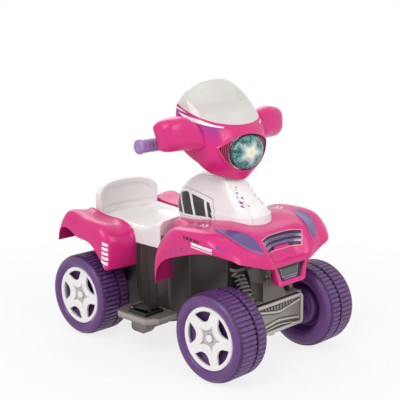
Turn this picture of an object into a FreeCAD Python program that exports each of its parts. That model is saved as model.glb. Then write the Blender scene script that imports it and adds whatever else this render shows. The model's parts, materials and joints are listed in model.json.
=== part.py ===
import FreeCAD
import Part

import math
import os

from FreeCAD import Vector

# Battery ride-on quad for a small child, in millimetres.
# +X is forward, +Y is the rider's left, +Z is up, and the origin is on the ground under the middle.

# Running gear
WHEEL_R = 110.0
WHEEL_W = 106.0
TRACK = 347.0
WHEELBASE = 487.5
FRONT_AXLE_X = WHEELBASE / 2
AXLE_R = 6.0
LUGS = 56
LUG_H = 2.6
GROOVE_IN = 9.0
HUB_R = 78.7
HUB_SPOKES = 5

# Steering
RAKE = 27.5
KINGPIN_BACK = 24.0
PIVOT_Z = 270.0
KINGPIN_R = 10.0
COLUMN_R = 8.0
COLUMN_TOP = 300.0
BAR_R = 11.0
BAR_Z = 548.0
GRIP_X = FRONT_AXLE_X - 212.0
GRIP_IN = 150.0
GRIP_OUT = 240.0
GRIP_R = 15.0

# Walls and clearances
WALL = 3.0
WINDSHIELD_WALL = 2.5
FIT = 0.3
RUN = 0.05

# Hull
TUB_FLOOR_Z = 66.0
TUB_RIM_Z = 293.0
SEAT_HEM_Z = TUB_RIM_Z - 32.0
DECK_Z = 333.0
DECK_W = 84.0
TUB_REAR_W = 100.0
TUB_FOOT_W = 110.0
TUB_NOSE_W = 60.0
FLANGE = 3.0

# Footrests and pedal
BOARD_Z = 100.0
BOARD_T = 19.0
BOARD_OUT = 206.0
PEDAL_T = 6.0
PEDAL_PIN_R = 2.5

# Gear train from the motor to the right rear wheel: teeth and module of each stage
DRIVE_TEETH = 44
DRIVE_MODULE = 1.5
SECOND_PINION = 14
SECOND_TEETH = 45
SECOND_MODULE = 1.25
FIRST_PINION = 13
FIRST_TEETH = 44
FIRST_MODULE = 1.0
MOTOR_TEETH = 12
BACKLASH = 0.16
SHAFT_R = 3.0
MOTOR_SHAFT_R = 1.6

# Places worked out from the driving dimensions
REAR_AXLE_X = FRONT_AXLE_X - WHEELBASE
WHEEL_Y = TRACK / 2
WHEEL_IN = WHEEL_Y - WHEEL_W / 2
KINGPIN_X = FRONT_AXLE_X - KINGPIN_BACK
TILT = math.tan(math.radians(RAKE))
STEER = Vector(-math.sin(math.radians(RAKE)), 0, math.cos(math.radians(RAKE)))
PIVOT = Vector(KINGPIN_X, 0, PIVOT_Z)
X = Vector(1, 0, 0)
Y = Vector(0, 1, 0)
Z = Vector(0, 0, 1)


def fore(x):
    """Station measured forward from the front axle."""
    return FRONT_AXLE_X + x


def aft(x):
    """Station measured forward from the rear axle."""
    return REAR_AXLE_X + x


def up(z):
    """Height measured from the axle line."""
    return WHEEL_R + z


def steer_x(z):
    """Where the raked steering axis stands at a height."""
    return KINGPIN_X - (z - PIVOT_Z) * TILT


def along(s):
    """Point on the steering axis, s above the steering pivot."""
    return PIVOT + STEER * s


def block(x0, x1, y0, y1, z0, z1):
    return Part.makeBox(x1 - x0, y1 - y0, z1 - z0, Vector(x0, y0, z0))


def rod(base, axis, radius, length):
    return Part.makeCylinder(radius, length, base, axis)


def ring(base, axis, outer, inner, length):
    return rod(base, axis, outer, length).cut(rod(base, axis, inner, length))


def mirrored(shape):
    """The same piece on the other side of the quad."""
    return shape.mirror(Vector(0, 0, 0), Y)


def both(shape):
    return Part.makeCompound([shape, mirrored(shape)])


def fused(shapes):
    return shapes[0].multiFuse(shapes[1:]).removeSplitter()


def outline(points):
    """Closed wire of straight edges."""
    return Part.makePolygon(list(points) + [points[0]])


def prism(points, direction):
    return Part.Face(outline(points)).extrude(direction)


def side_prism(points, half):
    """Side-view outline of (x, z) points, carried across the quad."""
    return prism([Vector(x, -half, z) for x, z in points], Vector(0, 2 * half, 0))


def spline(points):
    curve = Part.BSplineCurve()
    curve.interpolate(points)
    return curve.toShape()


def spun(profile, axis=Y):
    """Solid of revolution from a closed wire that stands beside the axis."""
    return Part.Face(profile).revolve(Vector(0, 0, 0), axis, 360)


def normals(rows):
    """Unit normal at every point of a grid, from its neighbours."""
    last_row = len(rows) - 1
    result = []
    for i, row in enumerate(rows):
        line = []
        for j in range(len(row)):
            along_rows = rows[min(i + 1, last_row)][j] - rows[max(i - 1, 0)][j]
            across = row[min(j + 1, len(row) - 1)] - row[max(j - 1, 0)]
            normal = along_rows.cross(across)
            line.append(normal.normalize())
        result.append(line)
    return result


def offset_rows(rows, distance):
    return [[p + n * distance for p, n in zip(row, line)] for row, line in zip(rows, normals(rows))]


def sheet_between(upper, lower):
    """Closed moulding between two grids: a smooth face through each and four ruled edges."""
    faces = []
    surfaces = []
    for rows in (upper, lower):
        surface = Part.BSplineSurface()
        surface.interpolate(rows)
        surfaces.append(surface)
        faces.append(surface.toShape())
    one, two = surfaces
    u0, u1, v0, v1 = one.bounds()
    s0, s1, t0, t1 = two.bounds()
    borders = [
        (one.uIso(u0), two.uIso(s0)),
        (one.uIso(u1), two.uIso(s1)),
        (one.vIso(v0), two.vIso(t0)),
        (one.vIso(v1), two.vIso(t1)),
    ]
    for a, b in borders:
        faces.append(Part.makeRuledSurface(a.toShape(), b.toShape()))
    skin = Part.makeCompound(faces)
    skin.sewShape()
    solid = Part.Solid(skin.Shells[0])
    if solid.Volume < 0:
        solid.reverse()
    return solid


def panel(rows, wall):
    """Sheet moulding of even wall under a grid of points."""
    return sheet_between(rows, offset_rows(rows, wall))


def run_out(rows, ends, sides):
    """Grid carried on past its ends and its outer side, for later cuts to trim."""
    wide = [row + [row[-1] + (row[-1] - row[-2]).normalize() * sides] for row in rows]
    first = [a + (a - b).normalize() * ends for a, b in zip(wide[0], wide[1])]
    last = [a + (a - b).normalize() * ends for a, b in zip(wide[-1], wide[-2])]
    return [first] + wide + [last]


def under_edge(points, y0, y1):
    """Everything under a side-view edge line of (x, z) points, between two sides."""
    line = [Vector(x, y0, z) for x, z in points]
    first, last = line[0], line[-1]
    rest = Part.makePolygon([last, Vector(last.x, y0, 0), Vector(first.x, y0, 0), first])
    return Part.Face(Part.Wire([spline(line)] + rest.Edges)).extrude(Vector(0, y1 - y0, 0))


def full_width(half_rows):
    """Grid rows given from the middle outwards, completed on the other side."""
    rows = []
    for half in half_rows:
        other = [Vector(p.x, -p.y, p.z) for p in reversed(half[1:])]
        rows.append(other + half)
    return rows


def rounded_path(points, radius):
    """Straight runs joined by tangent arcs."""
    edges = []
    start = points[0]
    for before, corner, after in zip(points, points[1:], points[2:]):
        way_in = (corner - before).normalize()
        way_out = (after - corner).normalize()
        half_turn = way_in.getAngle(way_out) / 2
        reach = radius * math.tan(half_turn)
        first = corner - way_in * reach
        second = corner + way_out * reach
        inward = (way_out - way_in).normalize()
        centre = corner + inward * (radius / math.cos(half_turn))
        middle = centre - inward * radius
        edges.append(Part.LineSegment(start, first).toShape())
        edges.append(Part.Arc(first, middle, second).toShape())
        start = second
    edges.append(Part.LineSegment(start, points[-1]).toShape())
    return Part.Wire(edges)


def swept(path, radius):
    """Round bar along a path."""
    start = path.Edges[0].Vertexes[0].Point
    heading = path.Edges[0].tangentAt(path.Edges[0].FirstParameter)
    circle = Part.Wire(Part.Circle(start, heading, radius).toShape())
    return path.makePipeShell([circle], True, False)


# Wheels: blow-moulded tyre and disc in one piece, with a clipped hub cap

HUB_FLOOR = 28.0
SLEEVE_R = 13.0
SLEEVE_OUT = 26.0
BOSS_R = 39.0
BOSS_IN = -(WHEEL_W / 2 - 3)
TYRE_WALL = 6.0
BULGE = WHEEL_W / 2
DOG_W = 8.0
DOG_R = 20.0
DOG_DEEP = 4.0


def wheel_profile():
    """Half section of a wheel: radius along X, outboard along Y."""
    tread = WHEEL_R - LUG_H
    edge = WHEEL_W / 2 - 13
    skin = tread - TYRE_WALL
    wall = 5.0
    recess = HUB_R + 0.5
    inner_lip = HUB_R - 11

    def line(a, b):
        return Part.LineSegment(Vector(a[0], a[1], 0), Vector(b[0], b[1], 0)).toShape()

    def arc(a, b, c):
        return Part.Arc(*[Vector(p[0], p[1], 0) for p in (a, b, c)]).toShape()

    corners = [
        (AXLE_R + RUN, SLEEVE_OUT), (SLEEVE_R, SLEEVE_OUT), (SLEEVE_R, BOSS_IN + wall),
        (BOSS_R - wall, BOSS_IN + wall), (BOSS_R - wall, HUB_FLOOR), (recess, HUB_FLOOR),
        (recess, edge + 3),
    ]
    edges = [line(a, b) for a, b in zip(corners, corners[1:])]
    edges.append(arc((recess, edge + 3), (recess + 14, BULGE), (tread, edge)))
    groove = [(tread, 3.5), (tread - 4, 2), (tread - 4, -2), (tread, -3.5)]
    groove = [(tread, edge)] + [(r, w - GROOVE_IN) for r, w in groove] + [(tread, -edge)]
    edges += [line(a, b) for a, b in zip(groove, groove[1:])]
    edges.append(arc((tread, -edge), (recess + 14, -BULGE), (inner_lip, 7 - BULGE)))
    hollow = [
        (inner_lip, 7 - BULGE), (inner_lip, 12 - BULGE), (skin - 6, 6 - BULGE), (skin, 14 - BULGE),
        (skin, BULGE - 16), (skin - 7, BULGE - 7), (recess + wall, BULGE - 10),
        (recess + wall, HUB_FLOOR - wall), (BOSS_R, HUB_FLOOR - wall), (BOSS_R, BOSS_IN + 3),
        (BOSS_R - 3, BOSS_IN), (AXLE_R + RUN, BOSS_IN), (AXLE_R + RUN, SLEEVE_OUT),
    ]
    edges += [line(a, b) for a, b in zip(hollow, hollow[1:])]
    return Part.Wire(edges)


def lug_ring(tip, w):
    """Toothed outline of a tread band: flat-topped lugs with sloped gaps."""
    valley = WHEEL_R - LUG_H - 0.2
    pitch = 2 * math.pi / LUGS
    points = []
    for k in range(LUGS):
        for radius, share in ((tip, 0.0), (tip, 0.6), (valley, 0.72), (valley, 0.88)):
            a = (k + share) * pitch
            points.append(Vector(radius * math.cos(a), w, radius * math.sin(a)))
    return outline(points)


def lug_band(low, high):
    """One tread band: straight lugs with a chamfered shoulder, open in the middle."""
    shoulder = high - 8
    straight = Part.makeLoft([lug_ring(WHEEL_R, low), lug_ring(WHEEL_R, shoulder)], True, True)
    worn = Part.makeLoft([lug_ring(WHEEL_R, shoulder), lug_ring(WHEEL_R - LUG_H, high)], True, True)
    band = straight.fuse(worn).removeSplitter()
    return band.cut(rod(Vector(0, low - 1, 0), Y, WHEEL_R - LUG_H - 2, high - low + 2))


def wheel():
    """Wheel about its own centre with the outboard side at +Y."""
    shoulder = WHEEL_W / 2 - 9
    band = lug_band(3.5 - GROOVE_IN, shoulder)
    inner_band = lug_band(3.5 + GROOVE_IN, shoulder).mirror(Vector(0, 0, 0), Y)
    inner_band.rotate(Vector(0, 0, 0), Y, 180.0 / LUGS)
    body = spun(wheel_profile()).fuse([band, inner_band])
    for k in range(4):
        slot = block(DOG_R - 6, DOG_R + 6, BOSS_IN - 1, BOSS_IN + DOG_DEEP, -DOG_W / 2, DOG_W / 2)
        slot.rotate(Vector(0, 0, 0), Y, 90 * k)
        body = body.cut(slot)
    return body


def hub_cap():
    """Five-spoke cap: rim, dished disc, windows, a star pressed into the middle and a round boss."""
    rim = HUB_FLOOR + 18.4
    points = [
        (0, 42), (24, 42), (HUB_R - 11, rim - 2.4), (HUB_R - 8, rim),
        (HUB_R - 2, rim), (HUB_R, rim - 3), (HUB_R, HUB_FLOOR), (HUB_R - 3.2, HUB_FLOOR),
        (HUB_R - 3.6, rim - 3.4), (HUB_R - 7, rim - 3.4), (HUB_R - 12, rim - 6.4), (24, 35), (0, 35),
    ]
    cap = spun(outline([Vector(r, w, 0) for r, w in points]))
    step = 360.0 / HUB_SPOKES
    inner, waist, outer = 0.52 * HUB_R, 0.68 * HUB_R, 0.855 * HUB_R

    def at(radius, degrees):
        a = math.radians(degrees)
        return Vector(radius * math.cos(a), HUB_FLOOR, radius * math.sin(a))

    for k in range(HUB_SPOKES):
        mid = k * step
        edges = [
            Part.Arc(at(waist, mid - 20), at(inner, mid), at(waist, mid + 20)).toShape(),
            Part.LineSegment(at(waist, mid + 20), at(outer, mid + 25)).toShape(),
            Part.Arc(at(outer, mid + 25), at(outer, mid), at(outer, mid - 25)).toShape(),
            Part.LineSegment(at(outer, mid - 25), at(waist, mid - 20)).toShape(),
        ]
        window = Part.Face(Part.Wire(edges)).extrude(Vector(0, 30, 0))
        corners = [e for e in window.Edges if abs(e.tangentAt(e.FirstParameter).y) > 0.99]
        cap = cap.cut(window.makeFillet(2, corners))
    edges = []
    for k in range(HUB_SPOKES):
        tip = at(0.46 * HUB_R, (k - 0.5) * step)
        far = at(0.46 * HUB_R, (k + 0.5) * step)
        edges.append(Part.Arc(tip, at(0.25 * HUB_R, k * step), far).toShape())
    star = Part.Face(Part.Wire(edges)).extrude(Vector(0, 30, 0))
    star.translate(Vector(0, 9.4, 0))
    cap = cap.cut(star)
    return cap.fuse(rod(Vector(0, 36, 0), Y, 9.5, 6.0))


def place_wheel(shape, axle_x, side):
    """Set a wheel piece on its axle end: side is 1 on the left and -1 on the right."""
    copy = shape.copy()
    if side < 0:
        copy.rotate(Vector(0, 0, 0), Z, 180)
    copy.translate(Vector(axle_x, side * WHEEL_Y, WHEEL_R))
    return copy


def axle_rod(axle_x):
    half = WHEEL_Y + SLEEVE_OUT + 8
    return rod(Vector(axle_x, -half, WHEEL_R), Y, AXLE_R, 2 * half)


def axle_nuts(axle_x):
    """Push-on caps that keep both wheels on an axle."""
    start = WHEEL_Y + SLEEVE_OUT + FIT
    nut = ring(Vector(axle_x, start, WHEEL_R), Y, 10.5, AXLE_R, 6)
    return both(nut)


# Hull: open grey tub with a narrow nose, a rear rim flange and a deck under the tank

TUB_REAR = aft(-70)
TUB_STEP = aft(105)
TUB_CORNER = fore(-244)
TUB_NECK = fore(-218)
TUB_NOSE = fore(-78)


def tub_plan(inset, z, height):
    """Plan outline of the hull, drawn in by a wall."""
    points = [
        (TUB_REAR + inset, TUB_REAR_W - inset), (TUB_STEP, TUB_REAR_W - inset),
        (TUB_STEP + 14, TUB_FOOT_W - inset), (TUB_CORNER, TUB_FOOT_W - inset),
        (TUB_NECK, TUB_NOSE_W - inset), (TUB_NOSE - inset, TUB_NOSE_W - inset),
    ]
    loop = [Vector(x, y, z) for x, y in points] + [Vector(x, -y, z) for x, y in reversed(points)]
    return prism(loop, Vector(0, 0, height))


def chassis_tub():
    height = DECK_Z - TUB_FLOOR_Z
    hull = tub_plan(0, TUB_FLOOR_Z, height)
    low_back = block(TUB_REAR - 1, TUB_NECK - 6, -200, 200, TUB_RIM_Z, DECK_Z + 1)
    hull = hull.cut(low_back)
    corners = [e for e in hull.Edges if abs(e.tangentAt(e.FirstParameter).z) > 0.99]
    hull = hull.makeFillet(8, [e for e in corners if abs(e.CenterOfMass.y) > TUB_NOSE_W - 1
                               and e.Length > 100])
    hull = hull.cut(tub_plan(WALL, TUB_FLOOR_Z + WALL, height))
    rim = block(TUB_REAR, TUB_STEP, -TUB_FOOT_W - 6, TUB_FOOT_W + 6, TUB_RIM_Z, TUB_RIM_Z + FLANGE)
    rim = rim.cut(block(TUB_REAR + 14, TUB_STEP + 1, -TUB_REAR_W + 8, TUB_REAR_W - 8, 0, 400))
    deck = block(fore(-252), fore(-18), -DECK_W, DECK_W, DECK_Z, DECK_Z + FLANGE)
    deck = deck.cut(block(fore(-225), fore(-85), -TUB_NOSE_W + 8, TUB_NOSE_W - 8, 0, 400))
    deck = deck.cut(rod(along(40), STEER, 27, 80))
    spacer_len = WHEEL_Y + BOSS_IN - TUB_REAR_W - FIT
    spacer = rod(Vector(REAR_AXLE_X, TUB_REAR_W - 1, WHEEL_R), Y, SLEEVE_R + 3, spacer_len + 1)
    ribs = []
    for x in (aft(135), aft(165), aft(195)):
        ribs.append(block(x, x + 4, TUB_FOOT_W - 1, TUB_FOOT_W + 2, TUB_FLOOR_Z + 45, SEAT_HEM_Z - 2))
    ribs += [mirrored(r) for r in ribs]
    tub = fused([hull, rim, deck, spacer] + ribs)
    tub = tub.cut(rod(Vector(REAR_AXLE_X, 0, WHEEL_R), Y, AXLE_R, 200))
    return tub.cut(rod(Vector(REAR_AXLE_X, -200, WHEEL_R), Y, DRIVE_HUB_R + 1, 150))


def footrest(side):
    """Grey board with a lipped, chamfered edge, a block under it and a brace to the hull."""
    x0, x1 = aft(135), fore(-214)
    inner = TUB_FOOT_W + 2
    top = BOARD_Z
    plan = [
        (x0, inner), (x0, BOARD_OUT - 14), (x0 + 12, BOARD_OUT), (x1 - 22, BOARD_OUT),
        (x1, BOARD_OUT - 30), (x1, inner),
    ]
    loop = [Vector(x, y, top - BOARD_T) for x, y in plan]
    board = prism(loop, Vector(0, 0, BOARD_T))
    edges = [e for e in board.Edges if e.CenterOfMass.z > top - 0.1 and e.CenterOfMass.y > inner + 1]
    board = board.makeChamfer(3, edges)
    hollow = prism([Vector(p.x, p.y, top - BOARD_T - 1) for p in [
        Vector(x0 + 6, inner + 6, 0), Vector(x0 + 6, BOARD_OUT - 16, 0), Vector(x1 - 26, BOARD_OUT - 8, 0),
        Vector(x1 - 6, BOARD_OUT - 34, 0), Vector(x1 - 6, inner + 6, 0)]], Vector(0, 0, BOARD_T - 4))
    board = board.cut(hollow)
    low = top - 43
    foot = [(x0 + 62, top - 8), (x0 + 62, low + 6), (x0 + 70, low), (x1 - 30, low), (x1 - 20, low + 12),
            (x1 - 20, top - 8)]
    under = prism([Vector(x, BOARD_OUT - 34, z) for x, z in foot], Vector(0, 31, 0))
    brace = block(x0 + 70, x1 - 34, inner, BOARD_OUT - 20, low + 6, top - 6)
    pad = block(x0 + 70, x1 - 34, inner - 2, inner + 8, low + 16, top - 2)
    ribs = [block(x0 + 18 + 9 * k, x0 + 21 + 9 * k, BOARD_OUT - 30, BOARD_OUT - 12, top - 1, top + 1.2)
            for k in range(3)]
    piece = fused([board, under, brace, pad] + ribs)
    return mirrored(piece) if side < 0 else piece


# Front bodywork: one pink moulding of hood, nose, fenders and mud flaps

FENDER_OUT = WHEEL_Y + 40.5
FAIRING_RUN_OUT = 14.0


def fairing_rows():
    """Grid from the flap feet, over the fenders, down to the lower edge of the nose.

    Each row runs from the middle outwards: hood, hood side, nose crease, lamp line, fender top,
    the two sides of the fender shoulder, and arch edge.
    """
    out = FENDER_OUT
    stations = [
        [(-270, 0, 186), (-270, 45, 187), (-264, 79, 190), (-232, 110, 185),
         (-194, 155, 98), (-193, out - 14, 99), (-189, out - 3, 103), (-180, out, 108)],
        [(-262, 0, 216), (-262, 45, 216), (-257, 79, 216), (-232, 110, 208),
         (-196, 155, 172), (-194, out - 14, 171), (-187, out - 3, 164), (-174, out, 142)],
        [(-240, 0, 233), (-240, 45, 233), (-240, 79, 234), (-216, 110, 230),
         (-180, 155, 211), (-178, out - 16, 208), (-169, out - 4, 198), (-153, out, 159)],
        [(-190, 0, 240), (-190, 45, 240), (-188, 79, 240), (-170, 110, 241),
         (-150, 155, 237), (-149, out - 17, 236.5), (-142, out - 4, 227), (-130, out, 171)],
        [(-110, 0, 247), (-110, 45, 247), (-110, 79, 247), (-110, 110, 248),
         (-110, 155, 248), (-110, out - 17, 247), (-110, out - 4, 239), (-110, out, 179)],
        [(-45, 0, 245), (-45, 45, 248), (-45, 79, 250), (-45, 110, 250),
         (-43, 155, 248), (-43, out - 17, 247), (-43, out - 5, 238), (-43, out - 1, 199)],
        [(0, 0, 239), (0, 45, 240), (2, 79, 242), (3, 110, 242),
         (4, 155, 238), (4, out - 21, 236), (4, out - 9, 227), (4, out - 5, 204)],
        [(33, 0, 231), (33.5, 45, 231), (37, 79, 232), (36, 110, 227),
         (32, 153, 220), (32, out - 29, 214), (32, out - 19, 206), (33, out - 16, 195)],
        [(40, 0, 204), (41, 45, 203), (53, 78, 206), (60, 106, 198),
         (52, 148, 199), (46, out - 34, 200), (42, out - 24, 195), (42, out - 20, 185)],
        [(51, 0, 176), (54, 45, 176), (69, 72, 178), (67, 102, 178),
         (60, 145, 184), (54, out - 38, 188.5), (50, out - 28, 185), (49, out - 24, 175)],
        [(71, 0, 152), (72, 40, 152), (74, 66, 152), (69, 98, 160),
         (65, 141, 169), (61, out - 42, 176), (57, out - 32, 174), (55, out - 28, 165)],
    ]
    half = [[Vector(fore(x), y, up(z)) for x, y, z in row] for row in stations]
    return full_width(run_out(half, FAIRING_RUN_OUT, FAIRING_RUN_OUT))


def arch_edge():
    """Lower edge of a front fender in side view, from the flap to the tip."""
    points = [(-184, 96), (-182, 126), (-170, 150), (-148, 166), (-110, 180), (-43, 199), (4, 204),
              (34, 199), (58, 183)]
    return [(fore(x), up(z)) for x, z in points]


def nose_edge():
    """Everything under the lower border of the nose, seen from the front."""
    half = [(0, 154), (40, 154), (66, 154), (98, 161), (138, 174), (165, 182), (184, 189), (230, 202)]
    x0 = fore(-5)
    line = [Vector(x0, -y, up(z)) for y, z in reversed(half[1:])] + [Vector(x0, y, up(z)) for y, z in half]
    first, last = line[0], line[-1]
    rest = Part.makePolygon([last, Vector(x0, last.y, 0), Vector(x0, first.y, 0), first])
    return Part.Face(Part.Wire([spline(line)] + rest.Edges)).extrude(Vector(200, 0, 0))


def bumper_frame(inset, depth):
    """Shield-shaped loop under the nose, drawn in by an inset and carried back by a depth."""
    top, low = up(166), up(107)
    face = fore(78)
    points = [(-66 + inset, top - inset), (66 - inset, top - inset), (52 - inset, low + inset + 4),
              (44 - inset, low + inset), (-44 + inset, low + inset), (-52 + inset, low + inset + 4)]
    lean = 6.0
    loop = [Vector(face - lean * (z - low) / (top - low), y, z) for y, z in points]
    return prism(loop, Vector(-depth, 0, 0))


def grille_opening(spread):
    """Trapezoid mouth with an arched top, carried through the nose."""
    face = fore(10)
    top, low = up(228) + spread, up(190) - spread
    half_top, half_low = 76 + spread, 62 + spread
    arch = Part.Arc(Vector(face, -half_top, top - 6), Vector(face, 0, top), Vector(face, half_top, top - 6))
    sides = Part.makePolygon([
        Vector(face, half_top, top - 6), Vector(face, half_low, low), Vector(face, 30, low),
        Vector(face, 26, low + 7), Vector(face, -26, low + 7), Vector(face, -30, low),
        Vector(face, -half_low, low), Vector(face, -half_top, top - 6),
    ])
    return Part.Face(Part.Wire([arch.toShape()] + sides.Edges)).extrude(Vector(80, 0, 0))


def lens_outline(side):
    """Leaf-shaped prism along the slope of the fender front."""
    tail = Vector(fore(-44), 152, up(247))
    tip = Vector(fore(63), 97, up(196))
    facing = Vector(0.50, 0.10, 0.86).normalize()
    chord = (tip - tail).normalize()
    across = facing.cross(chord).normalize()
    middle = (tail + tip) * 0.5
    high = middle + across * 24 - chord * 2
    low = middle - across * 15 + chord * 8
    leaf = Part.Face(Part.Wire([Part.Arc(tail, high, tip).toShape(), Part.Arc(tip, low, tail).toShape()]))
    solid = leaf.extrude(facing * 70)
    solid.translate(facing * -35)
    return mirrored(solid) if side < 0 else solid


def front_fairing():
    skin = panel(fairing_rows(), -WALL)
    skin = skin.cut(tank_solid(-0.6)).cut(tank_collar(-0.6))
    skin = skin.cut(block(fore(-300), fore(-150), -147, 147, 0, TUB_RIM_Z + FIT))
    skin = skin.cut(block(fore(-253), fore(-17), -DECK_W - FIT, DECK_W + FIT, 0, DECK_Z + FLANGE + FIT))
    arch = under_edge(arch_edge(), 150, 260)
    for cutter in (arch, mirrored(arch), nose_edge(), grille_opening(0)):
        skin = skin.cut(cutter)
    skin = skin.cut(block(fore(-300), fore(-100), -260, 260, 0, up(98)))
    loop = bumper_frame(0, 16).cut(bumper_frame(11, 16))
    posts = [rod(Vector(fore(x), 80, DECK_Z + FLANGE), Z, 5, z - DECK_Z - FLANGE)
             for x, z in ((-195, up(239)), (-95, up(246)))]
    for piece in [loop] + posts + [mirrored(p) for p in posts]:
        skin = skin.fuse(piece)
    return skin


def fender_lens(side):
    """Purple lamp glass lying on the fender slope."""
    rows = fairing_rows()
    slab = sheet_between(offset_rows(rows, 4.5), offset_rows(rows, 0.15))
    return slab.common(lens_outline(side))


def grille_panel():
    """Black plate behind the grille mouth."""
    rows = fairing_rows()
    back = sheet_between(offset_rows(rows, -3.3), offset_rows(rows, -6.3))
    return back.common(grille_opening(8))


def grille_bars():
    """Two purple bars across the grille mouth."""
    rows = fairing_rows()
    slab = sheet_between(offset_rows(rows, 0.6), offset_rows(rows, -3.2))
    slab = slab.common(grille_opening(-0.3))
    bars = []
    for z in (up(200), up(213)):
        arch = Part.Arc(Vector(fore(10), -80, z - 5), Vector(fore(10), 0, z), Vector(fore(10), 80, z - 5))
        raised = arch.toShape().translated(Vector(0, 0, 6))
        bar = Part.makeRuledSurface(arch.toShape(), raised).extrude(Vector(80, 0, 0))
        bars += slab.common(bar).Solids
    return Part.makeCompound(bars)


def bumper_insert():
    """Dark plate inside the bumper loop, with two pockets and a ledge between them."""
    plate = bumper_frame(11 + FIT, 9)
    plate.translate(Vector(-5, 0, 0))
    plate = plate.cut(block(fore(0), fore(100), -80, 80, up(153.4), up(200)))
    pocket = bumper_frame(16, 3)
    pocket.translate(Vector(-4, 0, 0))
    ledge = block(fore(0), fore(100), -60, 60, up(122), up(126))
    return plate.cut(pocket.cut(ledge))


# Rear bodywork: one pink moulding of both rear fenders and the tail

SEAT_W = 114.0
FENDER_LINES = [
    (SEAT_W + 1.2, [(-94, 118), (-91, 140), (-85, 185), (-76, 214), (-22, 213), (36, 207), (82, 202),
                    (108, 186), (119, 152), (121, 91), (121, 70)]),
    (160.0, [(-95, 117), (-92, 139), (-86, 184), (-73, 217), (-19, 214), (37, 207), (78, 197),
             (105, 176), (117, 140), (119, 89), (119, 70)]),
    (WHEEL_Y + 30, [(-95, 115), (-92, 137), (-85, 180), (-64, 217), (-15, 208), (40, 202), (80, 187),
                    (98, 161), (106, 125), (113, 90), (114, 70)]),
    (WHEEL_Y + 40.5, [(-93, 116), (-90, 138), (-78, 172), (-50, 178), (-12, 161), (40, 153), (66, 136),
                      (82, 120), (96, 105), (106, 88), (112, 70)]),
]


def drawn_in(points, inset):
    """Side-view points moved to the right of their run by an inset."""
    moved = []
    for i, (x, z) in enumerate(points):
        before = points[max(i - 1, 0)]
        after = points[min(i + 1, len(points) - 1)]
        run = Vector(after[0] - before[0], 0, after[1] - before[1]).normalize()
        moved.append((x + run.z * inset, z - run.x * inset))
    return moved


def fender_section(y, points, inset):
    """Side-view outline at one distance from the middle, drawn in by a wall and closed far below."""
    line = [Vector(aft(x), y, up(z)) for x, z in drawn_in(points, inset)]
    low = up(40) - inset
    rest = Part.makePolygon([line[-1], Vector(line[-1].x, y, low), Vector(line[0].x, y, low), line[0]])
    return Part.Wire([spline(line)] + rest.Edges)


def fender_solid(inset):
    """Filled left fender: inner wall, top, crest and arch edge."""
    sections = []
    for k, (y, points) in enumerate(FENDER_LINES):
        side = inset if k == 0 else -inset * (k > 1)
        sections.append(fender_section(y + side, points, inset * (k < 3)))
    return Part.makeLoft(sections, True)


def rear_fender():
    """Both fenders and the wall across the tail."""
    edge = [(aft(x), up(z + 1.5)) for x, z in FENDER_LINES[-1][1]]
    side = fender_solid(0).cut(fender_solid(WALL)).cut(under_edge(edge, SEAT_W + 20, 260))
    seat_line = TUB_RIM_Z + FLANGE + FIT
    side = side.cut(block(aft(-71), aft(107), 0, TUB_FOOT_W + 9, 0, seat_line))
    side = side.cut(block(aft(-200), aft(0), 0, 260, 0, up(139)))
    side = side.cut(block(aft(0), aft(200), 0, 260, 0, up(91)))
    wall = [(-91.5, 139), (-87, 185), (-81, 207), (-77.5, 206), (-83.5, 184), (-88, 139)]
    tail = side_prism([(aft(x), up(z)) for x, z in wall], SEAT_W + 9)
    return tail.fuse(side).fuse(mirrored(side))


# Seat: white moulding with a raised rim, hanging skirts and a wrapped backrest

BACK_TOP = 398.0


def seat_section(x, middle, rim, low, inset):
    """Closed cross-section: dished top, rounded rim and straight skirts."""
    edge = SEAT_W - inset
    half = [(0, middle - inset), (50, middle + 1 - inset), (88, 0.6 * middle + 0.4 * rim - inset),
            (edge - 8, rim - inset), (edge, rim - 9 - inset)]
    left = [Vector(aft(x), y, up(z)) for y, z in half]
    right = [Vector(p.x, -p.y, p.z) for p in reversed(left[1:])]
    top = spline(right + left)
    skirt = Part.makePolygon([left[-1], Vector(aft(x), edge, low), Vector(aft(x), -edge, low), right[0]])
    return Part.Wire([top] + skirt.Edges)


def seat_solid(inset, low):
    """Filled seat form from the backrest foot to the tank foot."""
    stations = [
        (-72 + inset, 204, 211), (-48, 198, 210), (-12, 192, 207), (40, 189, 203), (92, 190, 199),
        (125, 194, 197), (165, 203, 203), (214 - inset, 225, 219),
    ]
    return Part.makeLoft([seat_section(x, middle, rim, low, inset) for x, middle, rim in stations], True)


def shoulders(inset):
    """Front view of the upright with round upper corners, carried through its depth."""
    half = SEAT_W - 3 - inset
    top = BACK_TOP - inset
    fall = [(0, 0), (45, 1.5), (75, 6), (95, 14), (107, 24), (114, 36)]
    share = half / (SEAT_W - 3)
    left = [Vector(aft(-120), y * share, top - dz) for y, dz in fall]
    right = [Vector(p.x, -p.y, p.z) for p in reversed(left[1:])]
    crown = spline(right + left)
    low = up(150)
    sides = Part.makePolygon([left[-1], Vector(aft(-120), left[-1].y, low), Vector(aft(-120), -left[-1].y, low),
                              right[0]])
    return Part.Face(Part.Wire([crown] + sides.Edges)).extrude(Vector(140, 0, 0))


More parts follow.
